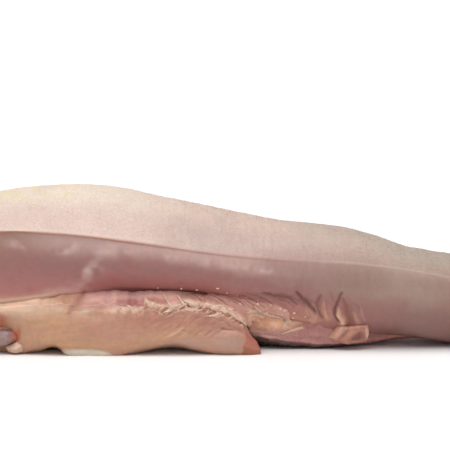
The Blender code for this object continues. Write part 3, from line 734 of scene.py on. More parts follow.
def skin_tint(x, seen, lane, side, points, creased):
    """The colours of the skin."""
    broad = lumps(points, 26, 41)
    patchy = rough(points, 9, 43, 3)
    upright = rough(points, np.array((2.1, 24, 9)), 45, 2)  # fine lines that run up and down the flank
    # the back: cream over the hump, shell pink beyond it, stone on the blade, dun at the tip
    wander = x + 14 * broad
    stained = soft(rough(points, 6, 51), -0.15, 0.6) * soft(x, 120, 50)
    tint = layered(
        CREAM,
        (SHELL, soft(wander, 85, 175)),
        (STONE, soft(wander, 178, 250)),
        (DUN, soft(wander, 250, 330)),
        (BLUSH, soft(lane, 0.3, 0.9) * soft(x, 290, 200) * 0.85),
        (LEMON, stained * soft(lane, 0.65, 0.25) * 0.7),
    )
    # painted light: the back made paler close to the ridge over the hump, where it turns away from the lamp
    tint = tint * (1 + 0.1 * soft(lane, 0.6, 0.97) * soft(x, 150, 115))[..., None]
    tint = tint * (1 - 0.13 * soft(lane, 0.35, 0.8) * soft(x, 120, 150) * soft(x, 245, 215))[..., None]
    # painted highlight along the ridge's edge near the root
    tint = over(tint, RIDGE_HIGHLIGHT, np.exp(-(((lane - 0.985) / 0.02) ** 2)) * soft(x, 130, 60) * 0.5)
    # the flank, from the ridge down
    down = lane - 1 + 0.09 * patchy + 0.04 * broad
    blade = layered(
        STONE_FLANK,
        (TAUPE, soft(down, 0.3, 0.75)),
        (BLADE_ROSE, soft(down, 0.35, 0.7) * soft(wander, 292, 262) * 0.9),
    )
    flank = layered(
        MAUVE_PALE,
        (OLIVE_PALE, soft(x, 70, 40)),
        (ROSE_BROWN, soft(down, 0.08, 0.48)),
        (ROSE, soft(down, 0.5, 0.85)),
        (WINE, soft(patchy, 0.1, 0.9) * soft(down, 0.3, 0.6) * 0.5),
        (blade, soft(wander, 205, 262)),
        (TAUPE, 0.5 * soft(lane, 1.5, 1.3) * soft(x, 180, 205) * soft(x, 275, 255)),
        # painted shade on the blade by the dent near the tip, and on the underside below the fold
        (UMBER_SHADE, 0.26 * soft(x, 285, 310)),
        (UMBER_SHADE, soft(lane, 2.02, 2.35)),
    )
    widening = soft(x, 150, 250)
    tint = layered(
        tint,
        (flank, soft(lane + 0.03 * patchy * widening, 0.985 - 0.5 * widening, 1.01 + 0.22 * widening)),
        # painted shadow in a line under the ridge's lip, and a painted highlight on the thin pale crest that it
        # turns into on the blade
        (RIDGE_SHADOW, np.exp(-(((lane - 1.02) / 0.02) ** 2)) * along(RIDGE_SHADOW_STRENGTH)(x)),
        (STONE, np.exp(-(((lane - 0.99) / 0.016) ** 2)) * soft(x, 215, 240) * 0.55),
    )
    for one in (NEAR, FAR):
        here = (side == one) & (lane > 1.02) & (lane < 2.8)
        part, pl = tint[here], lane[here]
        px, pz = unevenly(x[here], seen[here], one)
        blotched = soft(rough(points[here], 7, 47, 2), -0.5, 0.4)
        # painted highlights in pale blotches on the upper flank
        for middle, size in HIGHLIGHT_BLOTCHES:
            place = marks((middle,), one)[0]
            share = 0.8 * dab(px, pz, place, size, -8) * blotched * soft(pl, 1.02, 1.06)
            part = over(part, FLANK_HIGHLIGHT, share)
        # painted shade along the groove under the flank
        line_width = 0.03 + 0.02 * soft(px, 98, 112) * soft(px, 158, 145)
        dark = np.exp(-(((pl - 2.0) / line_width) ** 2)) * soft(px, 92, 118) * soft(px, 170, 150)
        part = layered(
            part,
            # painted highlight along the raised fold
            (FLANK_HIGHLIGHT, 0.4 * stroke(px, pz, marks(HIGHLIT_FOLD, one), 3.6, (0.6, 1.3)) * blotched),
            (WINE, 0.35 * dab(px, pz, (110, 38), (16, 6), -10)),
            # painted highlight low on the flank by the root
            (LEDGE_PINK, 0.85 * dab(px, pz, (78, 29.8), (10, 3.6))),
            (WINE, 0.6 * stroke(px, pz, marks(RED_CREASE, one), 2.6)),
            (PINK_FAT, 0.6 * soft(pl, 1.88, 1.98) * soft(px, 84, 62)),
            (CREAM_FAT, 0.85 * soft(pl, 1.95, 2.02) * soft(px, 76, 60)),
            (MAROON_SHADE, 0.9 * dark),
            (ROSE_FAT, 0.6 * soft(pl, 1.62, 1.84) * soft(px, 190, 204) * soft(px, 240, 220)),
            (OCHRE, 0.45 * dab(px, pz, (229.2, 17.3), (14, 4.5), -10)),
            # painted shade under the blade, beside the keel
            (HOLLOW_SHADE, 0.75 * dab(px, pz, (268.5, 6.8), (12, 3.6), -2)),
            # painted highlight along a thin crease on the blade
            (FLANK_HIGHLIGHT, 0.45 * stroke(px, pz, HIGHLIT_CREASE, 0.8)),
        )
        for path, half_width, ends, _, colour, share in FACETS:
            part = over(part, colour, share * stroke(px, pz, marks(path, one), half_width, ends))
        tint[here] = part
    # painted shade in the creases and wrinkles, darkest in the deepest
    tint = layered(tint, (UMBER_SHADE, 0.9 * creased), (MAROON_SHADE, 0.7 * soft(creased, 0.55, 1.0)))
    shade = 1 + 0.05 * patchy + 0.04 * broad + 0.05 * upright * soft(x, 90, 150)
    return tint * shade[..., None]


# ---------------------------------------------------------------- the trimmings beside the root
def trim_sheet(xs, side):
    """The sections of the trimmings on one side, as the solid has them, and each ring point's lane: 0 at the
    inner top, 1 at the ledge's root, 2 at the torn lip, 4 on the bulge, 5 at the foot and 6 under it. Last comes
    how far along each section lies, as on the near side."""
    x = np.array(xs)
    along_flap = x * TRIM_END[NEAR] / TRIM_END[side]
    lip_w, lip_h = trim_lip_half_width(along_flap), trim_lip_height(along_flap)
    bulge_w, inner = trim_bulge_half_width(along_flap), trim_inner_half_width(along_flap)
    foot, sole_w = trim_foot_lift(along_flap), trim_sole_half_width(along_flap)
    sole = np.full(len(x), -SOLE_DEPTH - (0.4 if side == FAR else 0.0))
    line = np.stack([x, np.zeros_like(x), np.full(len(x), float(side))], axis=-1)
    uneven = lumps(line, 11, 5) + 0.7 * lumps(line, 4.7, 9)
    torn = TORN_DEPTH * uneven * np.minimum(x / TORN_FROM, 1) ** 2
    even = np.ones(len(x))
    corners = np.stack([
        np.stack([inner, even * (TRIM_TOP_HEIGHT + side)], axis=-1),
        np.stack([even * LEDGE_HALF_WIDTH, LEDGE_HEIGHT + 0.2 * torn], axis=-1),
        np.stack([lip_w + 0.3 * torn, lip_h + 0.6 * torn], axis=-1),
        np.stack([lip_w + 2.2, lip_h - 3.5], axis=-1),
        np.stack([bulge_w, 0.53 * lip_h], axis=-1),
        np.stack([bulge_w - 2.5, foot], axis=-1),
        np.stack([sole_w, sole], axis=-1),
        np.stack([inner + 1, sole], axis=-1),
    ], axis=1)
    ledge = smooth_rings(corners, TRIM_STEPS)
    lanes = np.concatenate([k + np.arange(count) / count for k, count in enumerate(TRIM_STEPS)])
    turns = np.interp(lanes, range(corners.shape[1] + 1), FLAP_TURNS + (FLAP_TURNS[0] - 360,))
    flap = rounded_boxes(inner, bulge_w, sole, lip_h, turns, 2.5)
    share = np.clip((along_flap - FLAP_BLEND[0]) / (FLAP_BLEND[1] - FLAP_BLEND[0]), 0, 1)[:, None]
    ring = ledge * (1 - share[..., None]) + flap * share[..., None]
    at = np.stack(np.broadcast_arrays(x[:, None], 0.0, ring[..., 1]), axis=-1)
    swell = 1.3 * (1 - share) * lumps(at, 16, 21 + side) * (ring[..., 0] > inner[:, None] + 4)
    points = np.stack([
        np.broadcast_to(x[:, None], ring.shape[:2]),
        side * (ring[..., 0] + swell) + middle_sway(x)[:, None],
        ring[..., 1] + 0.4 * swell,
    ], axis=-1)
    if side == FAR:
        points, lanes = points[:, ::-1], lanes[::-1]
    return points, lanes, along_flap


FIBRE_TURN = math.radians(30)  # how steeply the fibres of the trimmings rise towards the tip
STRANDS = (  # single strands among the fibres: a path, and 1 for a raised pale one or -1 for a gap
    (((155.4, 5.2), (160.8, 7.9), (168, 10.4)), 1), (((148.2, 4.9), (153.6, 9.7), (160.2, 14.6)), -1),
    (((152.4, 4.3), (157.8, 8.5), (165, 13.1)), -1), (((144.6, 6.7), (150, 11.6), (155.4, 15.8)), -1),
    (((158.4, 4.9), (163.8, 7.3), (170.4, 9.1)), -1), (((141.6, 9.1), (146.4, 13.4), (151.2, 17.1)), -1),
    (((150.6, 7.3), (155.4, 11.3), (160.8, 14.6)), 1), (((164.4, 14.6), (170.4, 12.8), (177.6, 9.1)), -1),
)
FLAP_CREASE = ((169.2, 7.9), (175.8, 8.2), (181.2, 7.3), (184.8, 4.6))
FLAP_BULB = ((173.4, -0.6), (8.5, 5.0))
FAT_LIP_EDGE = ((72.6, -3.7), (78, -3.3), (88.8, -4.3), (98.4, -4.9), (104.4, -6.7))
FAT_LIP = ((87.6, -6.7), (15.0, 2.7))
CRUMPLES = ((1.0, (8, 6, 2.6)), (0.5, (3.4, 3, 1.2)))  # folds of the torn membrane: a strength and pitches
# Patches of colour on the trimmings: a colour, its share, a place, half sizes and a turn in degrees
TRIM_PATCHES = (
    (GOLD_FAT, 0.8, (63, 12.2), (20, 6), 0), (GOLD_FAT, 0.7, (72, 0.6), (22, 4.5), 0),
    (PEACH, 0.6, (96, 6.7), (14, 6), 0), (ROSE_FAT, 0.8, (126, 14), (24, 5), 0),
    (ROSE_FAT, 0.7, (159, 12.8), (17, 5.5), -20), (PINK_FAT, 0.7, (108, 2.4), (20, 4), 0),
    (GOLD_FAT, 0.85, (93, -1.8), (24, 2.6), 0), (GOLD_FAT, 0.8, (132, 1.8), (16, 3.2), 6),
    (GREY_FAT, 0.7, (150, -0.6), (16, 3.4), 0), (ROSE_FAT, 0.55, (94.2, 11), (9, 4), 30),
    (GREY_FAT, 0.85, (172.8, 0.6), (7.5, 6), -15), (MEMBRANE_PINK, 0.6, (169.2, 5.5), (8, 2.2), 0),
    (LEDGE_PINK, 0.7, (93, 25.6), (10, 3), -8), (ROSE_FAT, 0.7, (114.6, 24.4), (7, 2.2), -5),
    (ROSE_FAT, 0.6, (132, 25), (6, 2), -5), (CREAM_FAT, 0.7, (72, 20.7), (9, 3.4), -10),
    (ORANGE_FLESH, 0.55, (136.8, 20.1), (5, 2), -10), (ROSE_FAT, 0.75, (180, 14.6), (8, 4.5), -35),
    (WHITE_FAT, 0.45, (87.6, 20.1), (4, 2), 0), (ORANGE_FLESH, 0.35, (85.8, 14), (4, 1.6), 0),
    (CREAM_FAT, 0.3, (96, 14.2), (13, 3.2), 0), (CREAM_FAT, 0.4, (84, 16.6), (5, 2.6), 0),
)


def trimming(name, side):
    """The trimmings of one side: smooth fat by the root, fibres further on, and the cut tip of the flap."""
    end = TRIM_END[side]
    xs = stations((0, 90, 0.9), (90, end - 0.2, 0.56))
    points, lanes, along_flap = trim_sheet(xs, side)
    points = slanted(points)
    normals = outward(points)
    x, height, seen = points[..., 0], points[..., 2], level(points)
    lane = np.broadcast_to(lanes, x.shape)
    ahead = np.broadcast_to(along_flap[:, None], x.shape)  # how far along the flap, as on the near side
    outside = soft(lane, 1.0, 1.4) * soft(lane, 6.6, 6.0)

    up, across = math.cos(FIBRE_TURN), math.sin(FIBRE_TURN)
    fibre_space = np.stack([ahead * up + seen * across, points[..., 1], seen * up - ahead * across], axis=-1)
    fibres = rough(fibre_space, np.array((15, 8, 2.4)), 61, 2)
    fibrous = soft(ahead, 104, 140) * soft(lane, 2.2, 2.8) * soft(seen, -1, 5) * soft(ahead, 178, 168)
    relief = 0.5 * lumps(points, 11, 71) + 0.22 * lumps(points, 4.5, 73) + 0.1 * lumps(points, 1.9, 75)
    relief = relief + 0.35 * fibres * fibrous
    strands = np.zeros(x.shape)
    bent_x, bent_z = unevenly(ahead, seen, side)
    for path, sign in STRANDS:
        strands += sign * stroke(bent_x, bent_z, path, 0.6, (0.4, 0.4))
    relief += 0.4 * strands * soft(lane, 2.0, 2.4)
    relief -= 1.0 * stroke(bent_x, bent_z, RED_CREASE, 2.4)
    relief -= 0.9 * stroke(bent_x, bent_z, FLAP_CREASE, 1.3, (0.3, 0.8))
    relief += 1.1 * dab(ahead, seen, *FLAP_BULB)
    relief -= 0.6 * stroke(ahead, seen, FAT_LIP_EDGE, 1.1, (0.7, 0.5)) * soft(lane, 3.5, 4.2)
    relief += 0.7 * dab(ahead, seen, *FAT_LIP) * soft(lane, 3.5, 4.2)
    lines = wrinkled(ahead, seen, side) * soft(lane, 2.6, 2.2) * soft(ahead, 128, 146)
    relief -= 0.4 * lines
    above = seen - torn_edge(ahead, side)
    torn_zone = soft(ahead, 78, 96) * soft(ahead, 184, 176) * soft(lane, 1.5, 1.9) * soft(lane, 4.2, 3.6)
    relief += 1.1 * soft(above, 0.5, -0.4) * np.exp(-((np.minimum(above, 0) / 7) ** 2)) * torn_zone
    # below the edge the membrane lies in thin crumpled folds
    crumpled = sum(share * crumpled_folds(fibre_space, pitch, 85) for share, pitch in CRUMPLES)
    crumple_zone = soft(above, 0.3, -0.3) * soft(above, -11, -4)
    crumpled = crumpled * (crumple_zone * soft(ahead, 112, 132) * soft(ahead, 187, 178))
    relief += 0.8 * crumpled
    relief *= outside
    # the torn lip stands out and hangs, and never rises over the ledge
    line = np.stack([ahead, height * 0.4, np.full(x.shape, 3.0 * side)], axis=-1)
    ragged = np.exp(-(((lane - 2.25) / 0.35) ** 2)) * soft(ahead, 60, 95) * soft(ahead, 182, 172)
    tear = np.abs(lumps(line, 3.1, 81)) + 0.5 * np.abs(lumps(line, 1.4, 83))
    hanging = np.stack([0 * x, side * 0.9 * np.ones(x.shape), -0.45 * np.ones(x.shape)], axis=-1)

    tint = trim_tint(ahead, seen, lane, points, fibres * fibrous + 0.55 * strands, above, lines, crumpled)
    points = points + normals * relief[..., None] + hanging * (0.5 * ragged * (2.4 * tear - 0.5))[..., None]
    # what lies under the floor is pressed flat there, no further out than the foot that stands on it
    middle_y = middle_sway(points[..., 0])
    out = side * (points[..., 1] - middle_y)
    standing = (points[..., 2] >= 0) & (lane > 4.4) & (lane < 6.9)
    foot = np.where(standing, out, np.inf).min(axis=1, keepdims=True)
    points[..., 1] = middle_y + side * np.where(points[..., 2] < 0, np.minimum(out, foot), out)
    flesh_piece(name, points, tint, 0.7, start_cap=False)
    return points[0], tint[0]


def trim_tint(ahead, seen, lane, points, fibres, above, lines, crumpled):
    """The colours of the trimmings."""
    broad, patchy = lumps(points, 22, 91), rough(points, 7, 93, 3)
    fine = rough(points, 2.4, 95, 2)
    drawn = rough(points, np.array((11, 8, 1.5)), 97, 2)  # fine lines along the fat
    tint = PEACH
    moved_x, moved_z = ahead + 3.0 * broad, seen + 1.2 * patchy
    for colour, share, place, size, turn in TRIM_PATCHES:
        tint = over(tint, colour, share * dab(moved_x, moved_z, place, size, turn))
    shred = np.clip(0.62 + 0.55 * fine + 0.3 * patchy, 0, 1)
    along_edge = soft(ahead, 96, 108) * soft(ahead, 178, 168)
    ledge = soft(above, -0.1, 0.5) * soft(lane, 3.2, 2.6) * soft(ahead, 80, 94)
    low = soft(lane, 3.6, 4.2)
    fat_lip = dab(ahead + 1.2 * fine, seen + 0.5 * patchy, *FAT_LIP)
    tip = soft(ahead - 0.15 * seen + 0.8 * fine + 1.2 * patchy, 181.4, 182.8) * soft(seen, 6.0, 4.0)
    tint = layered(
        tint,
        (CREAM_FAT, soft(seen + patchy, 11, 21.5) * soft(ahead + 2 * patchy, 76, 56) * 0.9),
        (MEMBRANE, soft(fibres, 0.2, 0.9) * 0.5),
        (FIBRE_GAP, soft(fibres, -0.15, -0.9) * 0.6),
        # below the torn edge: cream membrane in shreds, which thins out downwards
        (MEMBRANE_PINK, soft(above, -6.5, -2.0) * shred * along_edge * 0.7),
        (MEMBRANE, soft(above, -3.4, -0.8) * (0.35 + 0.65 * shred) * along_edge * 0.95),
        (MEMBRANE_PINK, soft(above, -3.0, -0.5) * soft(fine, 0.1, 0.7) * soft(ahead, 84, 94) * 0.6),
        (ROSE_FAT, soft(crumpled, 0.0, -0.5) * 0.8),
        (MEMBRANE, soft(crumpled, 0.55, 1.2) * 0.85),
        # above it: the ledge under the groove, pink, with the red flesh that lies bare behind the edge
        (LEDGE_PINK, ledge),
        (ROSE, ledge * patch(moved_x, seen, (115.2, 23.8), (9.5, 2.6), -4, 0.5) * 0.85),
        (ROSE_FAT, ledge * patch(moved_x, seen, (130.8, 25.3), (8, 1.6), -8, 0.5) * 0.75),
        (ROSE_FAT, ledge * soft(ahead, 132, 150) * 0.25),
        (ROSE_FAT, ledge * patch(moved_x, seen, (96, 22.5), (8, 2.2), 0, 0.5) * 0.4),
        # painted shade in the wrinkles
        (UMBER_SHADE, lines * 0.35),
        # painted shade in the groove at the ledge's root
        (MAROON_SHADE, soft(lane, 1.16, 1.02) * soft(ahead, 80, 105) * (0.5 + 0.5 * soft(ahead, 178, 160))),
        (ROSE_FAT, 0.7 * stroke(moved_x, seen, RED_CREASE, 3.0)),
        (ROSE_FAT, 0.7 * stroke(moved_x, seen, FLAP_CREASE, 1.3, (0.3, 0.8))),
        (LIP_WHITE, soft(fat_lip, 0.15, 0.6) * low * 0.95),
        # painted shade along the edge of the fat lip
        (UMBER_SHADE, 0.12 * stroke(ahead, seen, FAT_LIP_EDGE, 0.8, (0.7, 0.5)) * low),
        (FLAP_CUT, tip),
        (FLAP_CUT_LOW, tip * soft(seen + 0.25 * (ahead - 184), -2.2, -3.4) * 0.9),
        # the corner by the root
        (ORANGE_FLESH, patch(moved_x, moved_z, (36, 13.4), (5.5, 3.8), -30, 0.7) * 0.75),
        (RED_FLESH, dab(ahead, seen, (37.8, 15.2), (3, 2.2)) * 0.5),
        (ORANGE_FLESH, patch(ahead, seen, (47.4, 4.3), (1.6, 4.2), -12, 0.5) * 0.85),
        # painted shade under the foot
        (UMBER_SHADE, soft(lane, 5.4, 6.2) * 0.6),
    )
    shade = 1 + 0.07 * patchy + 0.05 * broad + 0.05 * fine + 0.06 * drawn
    return tint * shade[..., None]


# ---------------------------------------------------------------- the keel under the middle
def keel_sheet(xs):
    """The sections of the keel: stations by ring points."""
    x = np.array(xs)
    w, top, sole, flare = keel_half_width(x), keel_top_height(x), keel_sole_height(x), keel_flare(x)
    half = [
        (0.55 * w, top), (0.95 * w, 0.7 * top + 0.3 * sole), (w, 0.42 * top + 0.58 * sole),
        (0.94 * w, sole + 1.5 * flare), (0.62 * w, sole + 0.62 * flare), (0.22 * w, sole),
    ]
    whole = [(-a, h) for a, h in reversed(half)] + half
    corners = np.stack([np.stack(corner, axis=-1) for corner in whole], axis=1)
    ring = smooth_rings(corners, (7,) * 12)[:, ::-1]
    at = np.stack(np.broadcast_arrays(x[:, None], ring[..., 0], ring[..., 1]), axis=-1)
    swell = 0.9 * lumps(at, 9, 33)
    return np.stack([at[..., 0], ring[..., 0] + swell + middle_sway(x)[:, None], ring[..., 1]], axis=-1)


# The levels at which the keel's peach turns to mauve membrane, and at which the painted shade on its underside
# starts
KEEL_EDGE = ((178.8, 11), (193.2, 7.9), (205.2, 6.7), (216, 9.1), (226.8, 12.2))
KEEL_FOOT = ((185, 5.2), (193, 4), (198, 2.7), (207, 1.2), (216, 0), (234, -0.8))


def keel():
    """The keel of muscle, peach above and under a mauve membrane below."""
    points = keel_sheet(stations((KEEL_START, KEEL_END, 0.7)))
    normals = outward(points)
    x, seen, height = points[..., 0], level(points), points[..., 2]
    patchy = rough(points, 8, 103, 3)
    folds = rough(points, np.array((10, 6, 2.0)), 115, 2)  # the membrane lies in fine folds along the keel
    shreds = crumpled_folds(points, (7, 5, 2.4), 116)
    relief = 0.45 * lumps(points, 7, 105) + 0.22 * lumps(points, 3, 107) + 0.1 * lumps(points, 1.5, 109)
    relief = relief + 0.35 * folds + 0.45 * shreds * soft(x, 236, 226)
    above = seen - straight(KEEL_EDGE, x) + 0.8 * patchy
    underneath = soft(normals[..., 2], -0.2, -0.6) * soft(height, 12, 9)
    below_foot = soft(seen + 0.4 * patchy - straight(KEEL_FOOT, x), 0.6, -0.6)
    tint = layered(
        MAUVE_MEMBRANE,
        (ROSE, soft(folds, 0.0, -0.7) * 0.5),
        (MEMBRANE_PINK, soft(folds, 0.15, 0.8) * 0.25),
        (GREY_FAT, 0.5 * dab(x, seen, (193.2, 5.5), (8, 2.5))),
        (ROSE_FAT, soft(above, -1.5, 0.5) * soft(x, 232, 222)),
        (PEACH, soft(above, -0.5, 1.5) * soft(x, 220, 208)),
        (KEEL_GOLD, 0.9 * dab(x, seen, (195.5, 14.2), (16, 4.6), -12)),
        (KEEL_CREAM, 0.6 * dab(x, seen, (193.2, 17.1), (15, 2.2), -14)),
        (ROSE_FAT, 0.5 * dab(x, seen, (186, 12.8), (7, 3))),
        (ORANGE_FLESH, 0.6 * dab(x, seen, (186, 11), (4, 3.2))),
        (ROSE, 0.8 * dab(x, seen, (220, 8), (12, 4))),
        (MEMBRANE, soft(shreds, 0.5, 1.0) * soft(above, -1.5, 0.5) * soft(x, 230, 218) * 0.4),
        (ROSE_FAT, soft(shreds, 0.0, -0.5) * soft(above, -1.5, 0.5) * soft(x, 230, 218) * 0.25),
        (MEMBRANE, dab(x, seen + 0.8 * folds, (201.6, 1.2), (8, 0.8), -12) * 0.8),
        # painted shade on the underside below the foot line
        (SHADE, underneath * below_foot * soft(x, 262, 240) * 0.9),
        # painted shade towards the keel's end, under the blade
        (UMBER_SHADE, soft(x, 250, 262) * 0.8),
    )
    # painted light: the underside above the foot line is made brighter where it lies in shade
    tint = tint * (1 + 0.07 * patchy + 0.7 * underneath * (1 - below_foot))[..., None]
    flesh_piece("keel", points + normals * relief[..., None], tint, 1.0)


# The frenulum's face: a place, half sizes, a turn in degrees, a height, and a colour with its share. The pink
# ones are painted light on faces that catch the lamp, and the hollow ones painted shade
FLAP_FACETS = (
    ((237.6, 5.8), (5.5, 3.0), 38, 0.7, MEMBRANE_PINK, 0.75),
    ((246.6, 9.1), (9.0, 0.9), 5, 0.5, MEMBRANE_PINK, 0.6),
    ((242.4, 4.9), (4.5, 0.9), 56, -0.5, HOLLOW_SHADE, 0.4),
    ((250.8, 2.7), (4.6, 2.8), 22, -1.5, HOLLOW_SHADE, 0.85),
    ((246.5, 5.5), (3.2, 2.0), 30, 0.3, OCHRE, 0.5),
    ((246, -0.3), (8.0, 1.0), 3, 0.4, ROSE_FAT, 0.7),
    ((256.2, 5.5), (0.9, 4.6), 2, 0.7, MEMBRANE_PINK, 0.8),
)
FLAP_END_ROUNDING = 2.2


def frenulum_flap(name, side):
    """The torn frenulum on one side: a thick folded lip, with painted light on its upper edge and painted shade
    in its hollow face.
    """
    x = np.array(stations((FLAP_START, FLAP_END, 0.3)))
    low, high, out = flap_low(x), flap_high(x), flap_out(x)
    if side == FAR:
        out, high = out - 2.0, high - 1.5
    out = out + 3.2 * soft(x, 242, 233)
    rim = np.stack([x, 0 * x, 0 * x + 6.0 * side], axis=-1)
    high = high + 1.3 * lumps(rim, 6, 119) + 0.6 * lumps(rim, 2.4, 120)
    ring = rounded_boxes(FLAP_IN, out, low, high, 135 - 360 * np.arange(110) / 110, 3.0)
    points = np.stack([
        np.broadcast_to(x[:, None], ring.shape[:2]),
        side * ring[..., 0] + middle_sway(x)[:, None],
        ring[..., 1] - 0.12 * (ring[..., 0] - FLAP_IN),
    ], axis=-1)
    if side == FAR:
        points = points[:, ::-1]
    closing = np.sqrt(soft(x, FLAP_START - 1, FLAP_START + 9))[:, None, None]
    middle = points.mean(axis=1, keepdims=True)
    points = middle + (points - middle) * (0.2 + 0.8 * closing)
    off_middle = (points[..., 2] - middle[..., 2]) / 6
    bent_end = FLAP_END_ROUNDING * off_middle**2 + 0.9 * lumps(points, 4, 118)
    points[..., 0] -= bent_end * soft(x, FLAP_END - 7, FLAP_END)[:, None]
    normals = outward(points)
    px, seen = unevenly(points[..., 0], level(points), side)
    relief = 0.4 * lumps(points, 5, 111) + 0.25 * lumps(points, 2, 112)
    tint = over(ROSE_FAT, FRENULUM_TAN, soft(px, 238, 250) * soft(seen, 9, 5) * 0.7)
    for place, size, turn, rise, colour, share in FLAP_FACETS:
        here = patch(px, seen, place, size, turn, 0.6)
        relief = relief + rise * here
        tint = over(tint, colour, share * here)
    tint = tint * (1 + 0.07 * rough(points, 5, 113))[..., None]
    flesh_piece(name, points + normals * relief[..., None], tint, 0.8)


# ---------------------------------------------------------------- the knobs by the root's near corner
def egg(middle, size, rows=40, count=56):
    """A ball as a sheet of rings along x, stretched about its middle: the sheet, and the unit ball's."""
    turn = np.linspace(0.02, math.pi - 0.02, rows)[:, None]
    around = -2 * math.pi * np.arange(count)[None] / count
    ball = np.stack(np.broadcast_arrays(
        -np.cos(turn), np.sin(turn) * np.sin(around), np.sin(turn) * np.cos(around)), axis=-1)
    return np.array(middle) + ball * np.array(size), ball


def faceted(middle, size, seed, cuts, depth):
    """An egg with flat cuts all round, as a torn lump of fat has."""
    sheet, ball = egg(middle, size)
    pick = np.random.default_rng(seed)
    shrink = np.ones(ball.shape[:2])
    for _ in range(cuts):
        normal = pick.normal(size=3)
        normal /= np.linalg.norm(normal)
        reach = pick.uniform(1 - depth, 1 - 0.3 * depth)
        along_normal = np.maximum(ball @ normal, 1e-6)
        shrink = np.minimum(shrink, np.where(along_normal > reach, reach / along_normal, 1.0))
    return np.array(middle) + (sheet - np.array(middle)) * shrink[..., None]


def root_knobs():
    """The vein in its sheath, and the fat under it."""
    vein, _ = egg(VEIN_MIDDLE, VEIN_SIZE)
    vein = vein + (0, 1, 0.6) * (0.9 * rough(vein, 6, 121, 3))[..., None]
    vein = slanted(vein)
    x, seen = vein[..., 0], level(vein)
    uneven = seen + 0.6 * lumps(vein, 4, 124)
    tint = layered(
        GLAND,
        (WHITE_FAT, soft(rough(vein, 5, 123), -0.1, 0.5) * 0.5),
        (PURPLE, soft(uneven, 5.6, 7.0) * 0.85),
        (PINK_FAT, soft(uneven, 7.6, 8.6) * 0.85),
        (SHEATH_GREY, dab(x, seen, (41.4, 4.3), (3, 3.6)) * 0.7),
        (ORANGE_FLESH, soft(x, 43.2, 44.4) * 0.9),
    )
    flesh_piece("vein", vein, tint, 1.0)
    fat = faceted(FAT_KNOB_MIDDLE, FAT_KNOB_SIZE, 127, 16, 0.42)
    flesh_piece("fat_knob", fat, over(GREY_FAT, CREAM_FAT, soft(rough(fat, 5, 129), -0.3, 0.5) * 0.6), 0.8)


# ---------------------------------------------------------------- the cut root
def cut_face(name, ring, rim_tint, recess, tint_of, slot, material):
    """The cut end of one part: a disc from its rim, a ring of points on the cut, to the ring's middle."""
    shares = np.concatenate([[1.0, 0.985, 0.96, 0.93], np.linspace(0.89, 0.02, 52)])[:, None, None]
    middle = ring.mean(axis=0)
    sheet = middle + (ring - middle) * shares
    sheet[..., 0] = cut_x(sheet[..., 1], sheet[..., 2]) + recess * soft(shares[..., 0], 1.0, 0.985)
    inward = np.linalg.norm(sheet - sheet[:1], axis=-1)
    grain = rough(sheet, np.array((9, 4.2, 4.2)), 141, 3)
    sheet[1:, :, 0] += 0.5 * grain[1:] * soft(inward[1:], 0.5, 4)
    tint = tint_of(sheet, inward, grain)
    tint[0] = rim_tint
    vertices, faces = ring_mesh(sheet[:, ::-1], end_cap=True)
    made_piece(name, vertices, faces, capped(tint[:, ::-1], False), material, slot, wet=1.0)


def muscle_tint(sheet, inward, grain):
    """Cut muscle: bundles with pale fat between them, a septum down the middle, and the pale rim of skin."""
    y, height = sheet[..., 1], sheet[..., 2]
    seams = np.abs(rough(sheet, np.array((30, 7, 5)), 151, 2))
    bands = np.abs(np.sin(0.9 * y + 1.4 * lumps(sheet, 14, 153)))
    return layered(
        MUSCLE_PALE,
        (MUSCLE_DARK, soft(grain, -0.4, 0.7)),
        (CREAM_FAT, soft(seams, 0.1, 0.02) * soft(inward, 2, 9) * 0.75),
        (MEMBRANE_PINK, soft(bands, 0.16, 0.04) * soft(height, 46, 60) * 0.45),
        (MEMBRANE, np.exp(-((y / 0.9) ** 2)) * soft(height, 30, 42) * soft(height, 78, 66) * 0.6),
        (PEACH, soft(height + 4 * grain, 34, 26) * 0.6),
        (MEMBRANE, soft(inward, 4.4, 3.0) * 0.7),
        (SKIN_RIM, soft(inward, 3.0, 2.2) * 0.85),
    )


def fat_tint(sheet, inward, grain):
    """Cut trimmings: soft fat with strands of muscle and a darker gland."""
    return layered(
        CREAM_FAT,
        (PEACH, soft(grain, -0.3, 0.5)),
        (MUSCLE_PALE, soft(rough(sheet, 10, 161), 0.15, 0.6) * 0.8),
        (MEMBRANE, soft(inward, 1.6, 0.8) * 0.6),
    )


# ---------------------------------------------------------------- small things seated on the surfaces
SIGHT_START = 90.0  # a line of sight starts this far out from the middle plane
STRIP_ROWS, STRIP_LANES = 22, 9


def seat(x, seen, side):
    """The place on the surfaces so far that shows at (x, level) from one side, and its outward normal."""
    start = Vector((x, side * SIGHT_START, seen + LEAN * SIGHT_START))
    sight = Vector((0.0, -side, -LEAN)).normalized()
    best = None
    for tree in TREES:
        place, normal, _, away = tree.ray_cast(start, sight)
        if place is not None and (best is None or away < best[2]):
            best = (place, normal, away)
    if best is None:
        return None
    return np.array(best[0]), np.array(best[1] if best[1].dot(sight) < 0 else -best[1])


